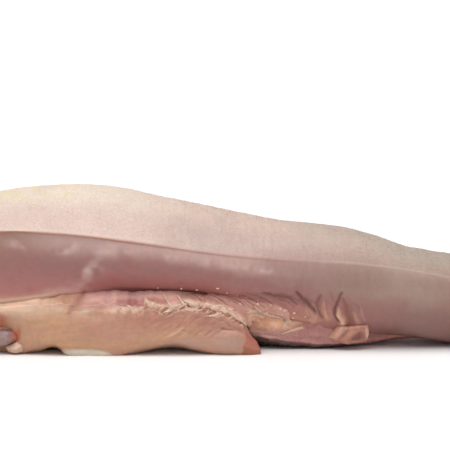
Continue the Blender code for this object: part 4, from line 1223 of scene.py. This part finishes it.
def seated_strip(path, widths, lift, side, seed):
    """A torn strip of membrane along a path of (x, level): a thin closed sheet that lies on what is under it,
    with its far end lifted off. Its half widths are given from its root to its end. The vertices, the faces,
    and how near each vertex is to a torn edge."""
    rows, across = STRIP_ROWS, STRIP_LANES
    curve = curve_through(path)
    steps = np.concatenate([[0], np.cumsum(np.hypot(*np.diff(curve, axis=0).T))])
    run = np.linspace(0, 1, rows)
    line = np.column_stack([np.interp(run * steps[-1], steps, curve[:, k]) for k in range(2)])
    tangent = np.gradient(line, axis=0)
    tangent /= np.linalg.norm(tangent, axis=1, keepdims=True)
    sideways = np.column_stack([-tangent[:, 1], tangent[:, 0]])
    half = np.interp(run, np.linspace(0, 1, len(widths)), widths)
    spread = np.linspace(-1, 1, across)
    places, normals = np.zeros((rows, across, 3)), np.zeros((rows, across, 3))
    found = None
    for i in range(rows):
        for j in range(across):
            torn = 1 + 0.45 * noise.noise((seed + 3.1 * spread[j], 5.0 * run[i] * steps[-1] / 6, seed))
            x, seen = line[i] + sideways[i] * half[i] * spread[j] * torn
            found = seat(x, seen, side) or found
            if found is None:
                return None
            places[i, j], normals[i, j] = found
    for _ in range(3):
        out = side * (neighbours(places)[..., 1] / 4 - places[..., 1])
        places[..., 1] += side * np.maximum(out, -0.2) * 0.7
        normals = (neighbours(normals) + normals) / 5
    normals /= np.linalg.norm(normals, axis=2, keepdims=True)
    dome = 1 - spread[None] ** 2
    height = -0.1 + 0.5 * dome + lift * run[:, None] ** 1.6 * (1 - 0.3 * dome)
    thickness = (0.12 + 0.5 * dome) * np.interp(run, (0, 0.1, 0.8, 1), (0.4, 1, 1, 0.3))[:, None]
    top = places + normals * height[..., None]
    under = top - normals * (thickness + 0.3 * (1 - run[:, None]))[..., None]
    ring = np.concatenate([top, under[:, ::-1]], axis=1)
    if side == NEAR:
        ring = ring[:, ::-1]
    vertices, faces = ring_mesh(ring, start_cap=True, end_cap=True)
    edge = np.maximum(1 - dome, soft(run, 0.3, 0.9)[:, None]) * soft(run, -0.2, 0.3)[:, None]
    edges = np.concatenate([edge, edge[:, ::-1]], axis=1)
    return vertices, faces, capped(edges)


# The loose skin that bridges the gap between the flank and the flap: the levels of its two edges along x
LOOSE_TOP = ((144, 30.4), (165, 29.8), (185, 27.4), (200, 24.2), (212, 20.6))
LOOSE_LOW = (
    (144, 24), (152, 22.6), (160, 20.8), (170, 18.4), (176.5, 15.6), (181, 12.2), (184.5, 10.4),
    (187.5, 13.4), (194, 15.8), (203, 15.6), (212, 13.8),
)
LOOSE_STATIONS, LOOSE_LANES, LOOSE_PASSES = 170, 34, 240
KEEL_GOLD_TOP = ((183, 21.5), (193, 18.4), (204, 15.8), (212, 13.4))  # where the keel's gold fat starts


def loose_skin(name, side):
    """The loose wrinkled skin from the flank to the flap and the keel, drawn taut over what is under it and
    torn along its lower edge."""
    ahead = np.linspace(LOOSE_TOP[0][0], LOOSE_TOP[-1][0], LOOSE_STATIONS)[:, None]
    line = np.concatenate([ahead, 0 * ahead, 0 * ahead + 4.0 * side], axis=1)[:, None]
    share = np.linspace(0, 1, LOOSE_LANES)[None]
    top = along(LOOSE_TOP)(ahead) + 0.8 * lumps(line, 7, 211)
    low = along(LOOSE_LOW)(ahead) + 0.7 * lumps(line, 3.4, 213) + 0.4 * lumps(line, 1.5, 214)
    seen = top + (low - top) * share
    x = np.broadcast_to(ahead * TRIM_END[side] / TRIM_END[NEAR], seen.shape)
    under = np.zeros(seen.shape)
    for i, j in np.ndindex(seen.shape):
        place, _ = seat(float(x[i, j]), float(seen[i, j]), side)
        under[i, j] = side * (place[1] - float(middle_sway(x[i, j])))
    out = under.copy()
    for _ in range(LOOSE_PASSES):
        out[1:-1, 1:-1] = np.maximum(under, neighbours(out) / 4)[1:-1, 1:-1]
    points = np.stack([x, side * out + middle_sway(x), seen + LEAN * out], axis=-1)
    if side == FAR:
        points, seen, share = points[:, ::-1], seen[:, ::-1], share[:, ::-1]
    normals = outward(points, closed=False)
    ahead = np.broadcast_to(ahead, seen.shape)
    above = seen - low
    fine, patchy = rough(points, 2.4, 215, 2), rough(points, 7, 216, 3)
    folds = crumpled_folds(points, (7, 5, 2.2), 217)
    lines = wrinkled(*unevenly(ahead, seen, side), side)
    near_edge = soft(above, 5.5, 0.5)
    relief = 0.3 * patchy + 0.15 * fine - 0.7 * lines + 0.7 * near_edge * folds + 0.5 * near_edge
    seam = soft(share, 0.0, 0.16) * soft(ahead, 144, 150) * soft(ahead, 212, 205)
    points = points + normals * (0.35 + relief * seam - 1.1 * (1 - seam))[..., None]

    gold = soft(seen + 0.5 * patchy - straight(KEEL_GOLD_TOP, ahead), 0.8, -0.8) * soft(ahead, 183, 188)
    shred = np.clip(0.55 + 0.5 * fine + 0.4 * folds, 0, 1)
    cream = soft(above + patchy, 6.5, 2.5) * soft(ahead, 200, 186)
    tint = layered(
        ROSE,
        (WRINKLED_SKIN, soft(share + 0.1 * patchy, 0.0, 0.25)),
        (KEEL_GOLD, gold),
        (ROSE_FAT, 0.5 * soft(patchy, 0.0, 0.7)),
        (MEMBRANE_PINK, 0.8 * cream),
        (MEMBRANE, 0.65 * soft(above + patchy, 5.5, 2.0) * shred * soft(ahead, 205, 185)),
        (ROSE_FAT, 0.5 * soft(above, 1.6, 0.2) * (1 - shred)),
        # painted shade in the wrinkles
        (UMBER_SHADE, 0.6 * lines * (1 - 0.6 * cream)),
    )
    tint = tint * (1 + 0.06 * fine + 0.05 * patchy)[..., None]
    hem, order = (-1, 1) if side == NEAR else (0, -1)  # the torn edge turns under
    turned = points[:, hem] - 1.2 * normals[:, hem] - (0, 0, 0.3)
    points = np.concatenate([points, turned[:, None]][::order], axis=1)
    tint = np.concatenate([tint, tint[:, hem][:, None]][::order], axis=1)
    vertices, faces = ring_mesh(points, closed=False)
    made_piece(name, vertices, faces, tint.reshape(-1, 3), FLESH, "trimmings", wet=0.7)
    TREES.append(BVHTree.FromPolygons(vertices.tolist(), faces))


# Shreds that stand free of the torn edge on the near side, each a path of (x, level) from its root, half
# widths along it, how far its end lifts off, and how pale it is
MEMBRANES = (
    (((114.6, 19.8), (111, 20.4), (106.8, 22.2)), (1.3, 1.1, 0.2), 0.9, 1.0),
    (((119.4, 19.8), (115.8, 20.4), (112.2, 22.8)), (1.3, 1.0, 0.2), 1.0, 1.0),
    (((130.8, 21.9), (126, 23.4), (123, 26.8)), (1.8, 1.5, 0.15), 1.2, 1.0),
    (((138.6, 21.3), (136.8, 25), (134.1, 28.6)), (1.2, 0.7, 0.12), 1.3, 1.0),
    (((148.2, 22.8), (145.2, 25), (142.5, 27.7)), (1.2, 0.8, 0.12), 1.3, 1.0),
    (((155.4, 22.8), (151.2, 24.4), (146.4, 25)), (1.2, 1.4, 0.4), 0.8, 1.0),
    (((145.2, 22.8), (140.4, 21), (134.4, 17.7)), (1.2, 1.4, 0.2), 1.1, 0.9),
    (((159.6, 22.2), (164.4, 22.8), (170.4, 21.9)), (0.8, 1.0, 0.3), 0.6, 0.9),
    (((169.2, 21.9), (173.4, 20.4), (176.4, 19.8)), (0.7, 1.0, 0.3), 0.6, 1.0),
    (((169.2, 18), (165, 16.4), (161.4, 16.1)), (0.9, 1.0, 0.2), 0.8, 0.9),
    (((171.6, 20.1), (176.4, 16.4), (180.6, 13.4), (183.3, 10.4)), (0.8, 1.2, 1.0, 0.4), 0.7, 0.55),
    (((192.6, 17.7), (190.8, 19.5), (188.7, 22.8)), (1.1, 0.7, 0.1), 1.2, 1.0),
    (((193.2, 17.7), (188.4, 18.6), (183, 17.7)), (1.0, 1.2, 0.3), 0.6, 0.8),
    (((191.4, 18.3), (198, 16.1), (205.8, 14.6)), (0.8, 0.9, 0.4), 0.5, 0.6),
    (((209.4, 14.3), (207.6, 12.2), (205.8, 8.8)), (2.3, 1.2, 0.15), 0.8, 0.9),
    (((217.8, 9.1), (211.8, 7.3), (205.2, 5.2)), (1.0, 1.0, 0.2), 0.6, 0.45),
)
LAST_FAR_MEMBRANE = 186.0  # the far side repeats those that start before this x


def far_membranes():
    """The torn membranes of the far side: those of the near side's trimmings, moved, turned and resized."""
    pick = np.random.default_rng(171)
    for path, widths, lift, pale in MEMBRANES:
        start = np.array(path[0])
        if start[0] > LAST_FAR_MEMBRANE:
            continue
        moved = np.array((pick.uniform(-9, 3), pick.uniform(-1.5, 1.0)))
        turn, scale = math.radians(pick.uniform(-22, 22)), pick.uniform(0.8, 1.25)
        c, s = math.cos(turn), math.sin(turn)
        turning = np.array(((c, s), (-s, c)))
        bent = [tuple(start + moved + scale * (np.array(p) - start) @ turning) for p in path]
        yield bent, tuple(scale * w for w in widths), lift, pale


def membranes():
    """The torn membranes along the lip of the trimmings and the edge of the skin."""
    parts = []
    for side, strips in ((NEAR, MEMBRANES), (FAR, far_membranes())):
        for k, (path, widths, lift, pale) in enumerate(strips):
            made = seated_strip(path, widths, lift, side, 7.3 * k + 50 * side)
            if made is None:
                continue
            vertices, faces, edges = made
            parts.append((vertices, faces, over(MEMBRANE_PINK, MEMBRANE, pale * (0.25 + 0.75 * edges))))
    made_piece("membranes", *joined(parts), FILM, "membrane", wet=0.9)


# Rows of white papillae on the flank: a path of (x, level), how many, and their half size
PAPILLA_ROWS = (
    (((130.2, 32.9), (149.4, 32.4), (166.8, 31.9)), 4, 0.45),
    (((171.6, 24.7), (186.6, 23.1), (199.8, 21.9), (206.4, 20.4), (214.8, 17.7), (222.6, 13.4)), 9, 0.62),
    (((196.8, 18.3), (202.2, 17.1), (210.6, 14)), 4, 0.5),
    (((172, 29), (181, 27.6), (190, 25.4)), 4, 0.36),
)


def flank_papillae():
    """The white papillae behind the groove and on the wrinkled skin."""
    parts = []
    pick = np.random.default_rng(181)
    for side in (NEAR, FAR):
        for path, count, size in PAPILLA_ROWS:
            curve = curve_through(marks(path, side))
            for t in np.linspace(0, 1, count):
                x, seen = curve[round(t * (len(curve) - 1))] + pick.uniform(-1.1, 1.1, 2)
                found = seat(x, seen, side)
                if found is None:
                    continue
                place, normal = found
                half = size * pick.uniform(0.6, 1.5)
                halves = (half * pick.uniform(0.9, 1.6), half * 0.7, half)
                sheet, _ = egg(place + 0.15 * half * normal, halves, 9, 12)
                vertices, faces = ring_mesh(sheet, start_cap=True, end_cap=True)
                parts.append((vertices, faces, np.broadcast_to(PAPILLA_WHITE, (len(vertices), 3))))
    made_piece("flank_papillae", *joined(parts), FILM, "tongue_skin", wet=0.8)


PAPILLA_PITCH = ((0, 1.75), (110, 1.75), (200, 2.1), (378, 2.3))  # how far apart they stand along the back
PAPILLA_HEIGHT = ((0, 0.28), (110, 0.2), (150, 0.1), (378, 0.08))
PAPILLA_HALF_WIDTH = 0.62
PAPILLA_SIDES = 5
PAPILLA_RINGS = ((1.0, -0.35, 0.0), (0.6, 0.6, -0.3))  # shares of half width and height, and the lean
PAPILLA_LEAN = 0.8
PAPILLA_SHADES = (1.0, 1.03, 1.06)  # how bright its foot, its shoulder and its point are


def back_papillae(points, normals, lanes, tint):
    """The papillae of the back: rows across it of small blunt cones that lean towards the root."""
    pick = np.random.default_rng(191)
    pitch_at, height_at = along(PAPILLA_PITCH), along(PAPILLA_HEIGHT)
    near = np.flatnonzero(lanes[:len(lanes) // 2] <= 0.97)
    order = np.concatenate([-near[:0:-1], near])  # from the far ridge over the crest to the near ridge
    station_x = points[:, 0, 0]
    seats, ups, colours, sizes = [], [], [], []
    x, row = 0.6, 0
    while x < TIP_X - 4:
        pitch = float(pitch_at(x))
        at = np.interp(x, station_x, np.arange(len(station_x)))
        i, f = int(at), at - int(at)
        line = points[i, order] * (1 - f) + points[i + 1, order] * f
        up = normals[i, order] * (1 - f) + normals[i + 1, order] * f
        colour = tint[i, order] * (1 - f) + tint[i + 1, order] * f
        run = np.concatenate([[0], np.cumsum(np.linalg.norm(np.diff(line, axis=0), axis=1))])
        stops = np.arange(0.5 * pitch * (row % 2) + 0.2, run[-1], pitch)
        stops = np.clip(stops + pick.uniform(-0.3, 0.3, len(stops)) * pitch, 0, run[-1])
        for values, kept in ((line, seats), (up, ups), (colour, colours)):
            kept.append(np.column_stack([np.interp(stops, run, values[:, k]) for k in range(3)]))
        seats[-1][:, 0] += pick.uniform(-0.3, 0.3, len(stops)) * pitch
        sizes.append(height_at(x) * pick.uniform(0.6, 1.25, len(stops)))
        x += pitch * 0.87
        row += 1
    place, up, colour, size = (np.concatenate(v) for v in (seats, ups, colours, sizes))
    up /= np.linalg.norm(up, axis=1, keepdims=True)
    forward = np.cross(up, np.cross((1.0, 0.0, 0.0), up))
    across = np.cross(up, forward)
    turns = 2 * math.pi * np.arange(PAPILLA_SIDES) / PAPILLA_SIDES
    flat = np.cos(turns)[None, :, None] * forward[:, None] + np.sin(turns)[None, :, None] * across[:, None]
    rings = []
    for out, rise, lean in PAPILLA_RINGS:
        centre = place + size[:, None] * (rise * up + lean * forward)
        rings.append(centre[:, None] + out * PAPILLA_HALF_WIDTH * flat)
    apex = place + size[:, None] * (up - PAPILLA_LEAN * forward)
    vertices = np.concatenate([*rings, apex[:, None]], axis=1).reshape(-1, 3)
    n = PAPILLA_SIDES
    shape = [[k, (k + 1) % n, n + (k + 1) % n, n + k] for k in range(n)]
    shape += [[n + k, n + (k + 1) % n, 2 * n] for k in range(n)]
    starts = range(0, len(vertices), 2 * n + 1)
    faces = [[v + start for v in face] for start in starts for face in shape]
    shades = np.repeat(PAPILLA_SHADES, (n, n, 1))
    colours = np.clip(colour[:, None] * shades[None, :, None], 0, 1).reshape(-1, 3)
    made_piece("back_papillae", vertices, faces, colours, PAPILLA_SKIN, "tongue_skin", wet=0.0, papillae=0.0)


# ---------------------------------------------------------------- materials
BUMP_REACH = 0.3


def new_material(name, roughness, subsurface):
    """A flesh material, its base colour not yet joined: the material, its nodes and the shader."""
    material = bpy.data.materials.new(name)
    material.use_nodes = True
    nodes = material.node_tree.nodes
    shader = nodes["Principled BSDF"]
    shader.inputs["Roughness"].default_value = roughness
    shader.inputs["Subsurface Weight"].default_value = subsurface
    shader.inputs["Subsurface Radius"].default_value = (1.0, 0.35, 0.2)
    shader.inputs["Subsurface Scale"].default_value = 0.003
    shader.inputs["Specular IOR Level"].default_value = 0.45
    return material, nodes, shader


def attribute(nodes, name):
    """A node that reads what lies on the vertices under a name."""
    node = nodes.new("ShaderNodeAttribute")
    node.attribute_type = "GEOMETRY"
    node.attribute_name = name
    return node


def calculation(nodes, links, operation, a, b):
    """A Math node: a and b are sockets or numbers."""
    node = nodes.new("ShaderNodeMath")
    node.operation = operation
    for socket, value in zip(node.inputs, (a, b)):
        if isinstance(value, (int, float)):
            socket.default_value = value
        else:
            links.new(value, socket)
    return node.outputs[0]


def mottle_group():
    """A shader group: a colour with fine light and dark mottling, and the mottling as a mask."""
    group = bpy.data.node_groups.new("mottle", "ShaderNodeTree")
    group.interface.new_socket("Colour", in_out="INPUT", socket_type="NodeSocketColor")
    group.interface.new_socket("Pitch", in_out="INPUT", socket_type="NodeSocketFloat")
    group.interface.new_socket("Strength", in_out="INPUT", socket_type="NodeSocketFloat")
    group.interface.new_socket("Colour", in_out="OUTPUT", socket_type="NodeSocketColor")
    group.interface.new_socket("Mask", in_out="OUTPUT", socket_type="NodeSocketFloat")
    nodes, links = group.nodes, group.links
    start, end = nodes.new("NodeGroupInput"), nodes.new("NodeGroupOutput")
    place = nodes.new("ShaderNodeTexCoord")
    clouds = nodes.new("ShaderNodeTexNoise")
    clouds.inputs["Detail"].default_value = 6
    clouds.inputs["Roughness"].default_value = 0.6
    links.new(place.outputs["Object"], clouds.inputs["Vector"])
    links.new(calculation(nodes, links, "DIVIDE", 1.0, start.outputs["Pitch"]), clouds.inputs["Scale"])
    centred = calculation(nodes, links, "SUBTRACT", clouds.outputs["Fac"], 0.5)
    swing = calculation(nodes, links, "MULTIPLY", centred, start.outputs["Strength"])
    shade = calculation(nodes, links, "ADD", swing, 1.0)
    scaled = nodes.new("ShaderNodeVectorMath")
    scaled.operation = "SCALE"
    links.new(start.outputs["Colour"], scaled.inputs[0])
    links.new(shade, scaled.inputs["Scale"])
    links.new(scaled.outputs[0], end.inputs["Colour"])
    links.new(clouds.outputs["Fac"], end.inputs["Mask"])
    return group


def mottled(nodes, links, pitch, strength):
    """The colours on the vertices with fine mottling over them, and the mottling as a mask."""
    mottle = nodes.new("ShaderNodeGroup")
    mottle.node_tree = MOTTLE
    mottle.inputs["Pitch"].default_value = pitch * MM
    mottle.inputs["Strength"].default_value = strength
    links.new(attribute(nodes, "tint").outputs["Color"], mottle.inputs["Colour"])
    return mottle.outputs["Colour"], mottle.outputs["Mask"]


def glossed(nodes, links, shader, roughness, smoothing, varied, coat, coat_roughness):
    """Make the surface smoother where it is wet and coat it there. varied is the mottling and its share."""
    wet = attribute(nodes, "wet").outputs["Fac"]
    gloss = calculation(nodes, links, "MULTIPLY", wet, -smoothing)
    swing = calculation(nodes, links, "MULTIPLY", *varied)
    base = calculation(nodes, links, "ADD", gloss, roughness)
    links.new(calculation(nodes, links, "ADD", base, swing), shader.inputs["Roughness"])
    links.new(calculation(nodes, links, "MULTIPLY", wet, coat), shader.inputs["Coat Weight"])
    shader.inputs["Coat Roughness"].default_value = coat_roughness


def fine_noise(nodes, links, place, pitch):
    """Fine noise with a pitch in millimetres."""
    node = nodes.new("ShaderNodeTexNoise")
    node.inputs["Scale"].default_value = 1 / (pitch * MM)
    node.inputs["Detail"].default_value = 4
    links.new(place, node.inputs["Vector"])
    return node.outputs["Fac"]


def bumped(nodes, links, shader, height, strength):
    """Raise the surface by a height."""
    node = nodes.new("ShaderNodeBump")
    node.inputs["Strength"].default_value = strength
    node.inputs["Distance"].default_value = BUMP_REACH * MM
    links.new(height, node.inputs["Height"])
    links.new(node.outputs["Normal"], shader.inputs["Normal"])


def flesh_material(name, roughness, subsurface, coat, mottle_pitch, mottle_strength, bump):
    """Moist flesh: the colours of its vertices, with fine mottling, gloss that varies and a fine grain."""
    material, nodes, shader = new_material(name, roughness, subsurface)
    links = material.node_tree.links
    colour, mask = mottled(nodes, links, mottle_pitch, mottle_strength)
    links.new(colour, shader.inputs["Base Color"])
    glossed(nodes, links, shader, roughness - 0.12, 0.16, (mask, 0.3), coat, 0.25)
    place = nodes.new("ShaderNodeTexCoord").outputs["Object"]
    bumped(nodes, links, shader, fine_noise(nodes, links, place, 0.9), bump)
    return material


def skin_material(name, subsurface):
    """Moist skin: matt and pebbled with papillae over the back, smoother on the flanks."""
    material, nodes, shader = new_material(name, 0.5, subsurface)
    links = material.node_tree.links
    pebbled = attribute(nodes, "papillae")
    colour, mask = mottled(nodes, links, 2.6, 0.22)
    place = nodes.new("ShaderNodeTexCoord").outputs["Object"]
    cells = nodes.new("ShaderNodeTexVoronoi")
    cells.inputs["Scale"].default_value = 1 / (1.35 * MM)
    cells.inputs["Randomness"].default_value = 0.85
    links.new(place, cells.inputs["Vector"])
    dome = calculation(nodes, links, "SUBTRACT", 0.75, cells.outputs["Distance"])
    dome = calculation(nodes, links, "MULTIPLY", dome, pebbled.outputs["Fac"])
    shade = calculation(nodes, links, "MULTIPLY", dome, 0.16)
    shade = calculation(nodes, links, "ADD", shade, 0.96)
    scaled = nodes.new("ShaderNodeVectorMath")
    scaled.operation = "SCALE"
    links.new(colour, scaled.inputs[0])
    links.new(shade, scaled.inputs["Scale"])
    links.new(scaled.outputs[0], shader.inputs["Base Color"])
    glossed(nodes, links, shader, 0.42, 0.14, (mask, 0.24), 0.12, 0.3)
    fine = calculation(nodes, links, "MULTIPLY", fine_noise(nodes, links, place, 1.1), 0.35)
    bumped(nodes, links, shader, calculation(nodes, links, "ADD", dome, fine), 0.45)
    return material


# ---------------------------------------------------------------- studio
VIEW_MIDDLE = (171.0, 0.0, 71.3)  # what the middle of the picture shows
VIEW_WIDTH = 270.0
CAMERA_DISTANCE, SENSOR_WIDTH = 8.0, 36.0
FLOOR_REACH = 7.0
PAPER_WHITE = (0.92, 0.92, 0.92, 1)
AIR_STRENGTH, SOFTBOX_STRENGTH, SOFTBOX_ANGLE, SOFTBOX_TILT = 0.6, 2.0, 60.0, (16.0, -6.0)


def studio():
    """A white floor, soft light from above and the camera."""
    data = bpy.data.meshes.new("floor")
    reach = FLOOR_REACH
    data.from_pydata([(-reach, -reach, 0), (reach, -reach, 0), (reach, reach, 0), (-reach, reach, 0)], [],
                     [(0, 1, 2, 3)])
    floor = bpy.data.objects.new("floor", data)
    bpy.context.scene.collection.objects.link(floor)
    paper = bpy.data.materials.new("paper")
    paper.use_nodes = True
    shader = paper.node_tree.nodes["Principled BSDF"]
    shader.inputs["Base Color"].default_value = PAPER_WHITE
    shader.inputs["Roughness"].default_value = 0.9
    shader.inputs["Specular IOR Level"].default_value = 0.1
    data.materials.append(paper)

    world = bpy.data.worlds.new("studio_air")
    bpy.context.scene.world = world
    world.use_nodes = True
    world.node_tree.nodes["Background"].inputs["Color"].default_value = (1, 1, 1, 1)
    world.node_tree.nodes["Background"].inputs["Strength"].default_value = AIR_STRENGTH

    lamp = bpy.data.lights.new("softbox", "SUN")
    lamp.energy = SOFTBOX_STRENGTH
    lamp.angle = math.radians(SOFTBOX_ANGLE)
    sun = bpy.data.objects.new("softbox", lamp)
    bpy.context.scene.collection.objects.link(sun)
    sun.rotation_euler = (math.radians(SOFTBOX_TILT[0]), math.radians(SOFTBOX_TILT[1]), 0)

    lens = bpy.data.cameras.new("camera")
    lens.sensor_width = SENSOR_WIDTH
    lens.lens = SENSOR_WIDTH * CAMERA_DISTANCE / (VIEW_WIDTH * MM)
    lens.clip_end = 60.0
    camera = bpy.data.objects.new("camera", lens)
    bpy.context.scene.collection.objects.link(camera)
    target = (Vector(VIEW_MIDDLE) + SHIFT) * MM
    rise = math.radians(CAMERA_ELEVATION)
    camera.location = target + CAMERA_DISTANCE * Vector((0, -math.cos(rise), math.sin(rise)))
    camera.rotation_euler = (math.pi / 2 - rise, 0, 0)
    bpy.context.scene.camera = camera
    bpy.context.scene.view_settings.view_transform = "Standard"


SURFACES = []
MOTTLE = mottle_group()
SKIN = skin_material("tongue_skin", 0.15)
PAPILLA_SKIN = skin_material("papillae", 0.0)
FLESH = flesh_material("trimmings", 0.42, 0.2, 0.25, 2.2, 0.22, 0.35)
FILM = flesh_material("membrane", 0.38, 0.35, 0.3, 1.2, 0.12, 0.25)
MUSCLE = flesh_material("cut_muscle", 0.4, 0.15, 0.3, 1.6, 0.3, 0.5)

studio()
skin_points, skin_normals, skin_lanes, skin_colours = tongue_skin()
cut_face("root_cut", skin_points[0], skin_colours[0], 0.0, muscle_tint, "cut_muscle", MUSCLE)
for side, name, recess in ((NEAR, "near", 0.4), (FAR, "far", 0.8)):
    ring, colours = trimming(name + "_trimming", side)
    cut_face(name + "_trimming_cut", ring, colours, recess, fat_tint, "trimmings", FLESH)
keel()
frenulum_flap("near_frenulum", NEAR)
frenulum_flap("far_frenulum", FAR)
root_knobs()
TREES = [BVHTree.FromPolygons(vertices.tolist(), faces) for vertices, faces in SURFACES]
loose_skin("near_loose_skin", NEAR)
loose_skin("far_loose_skin", FAR)
membranes()
flank_papillae()
back_papillae(skin_points, skin_normals, skin_lanes, skin_colours)
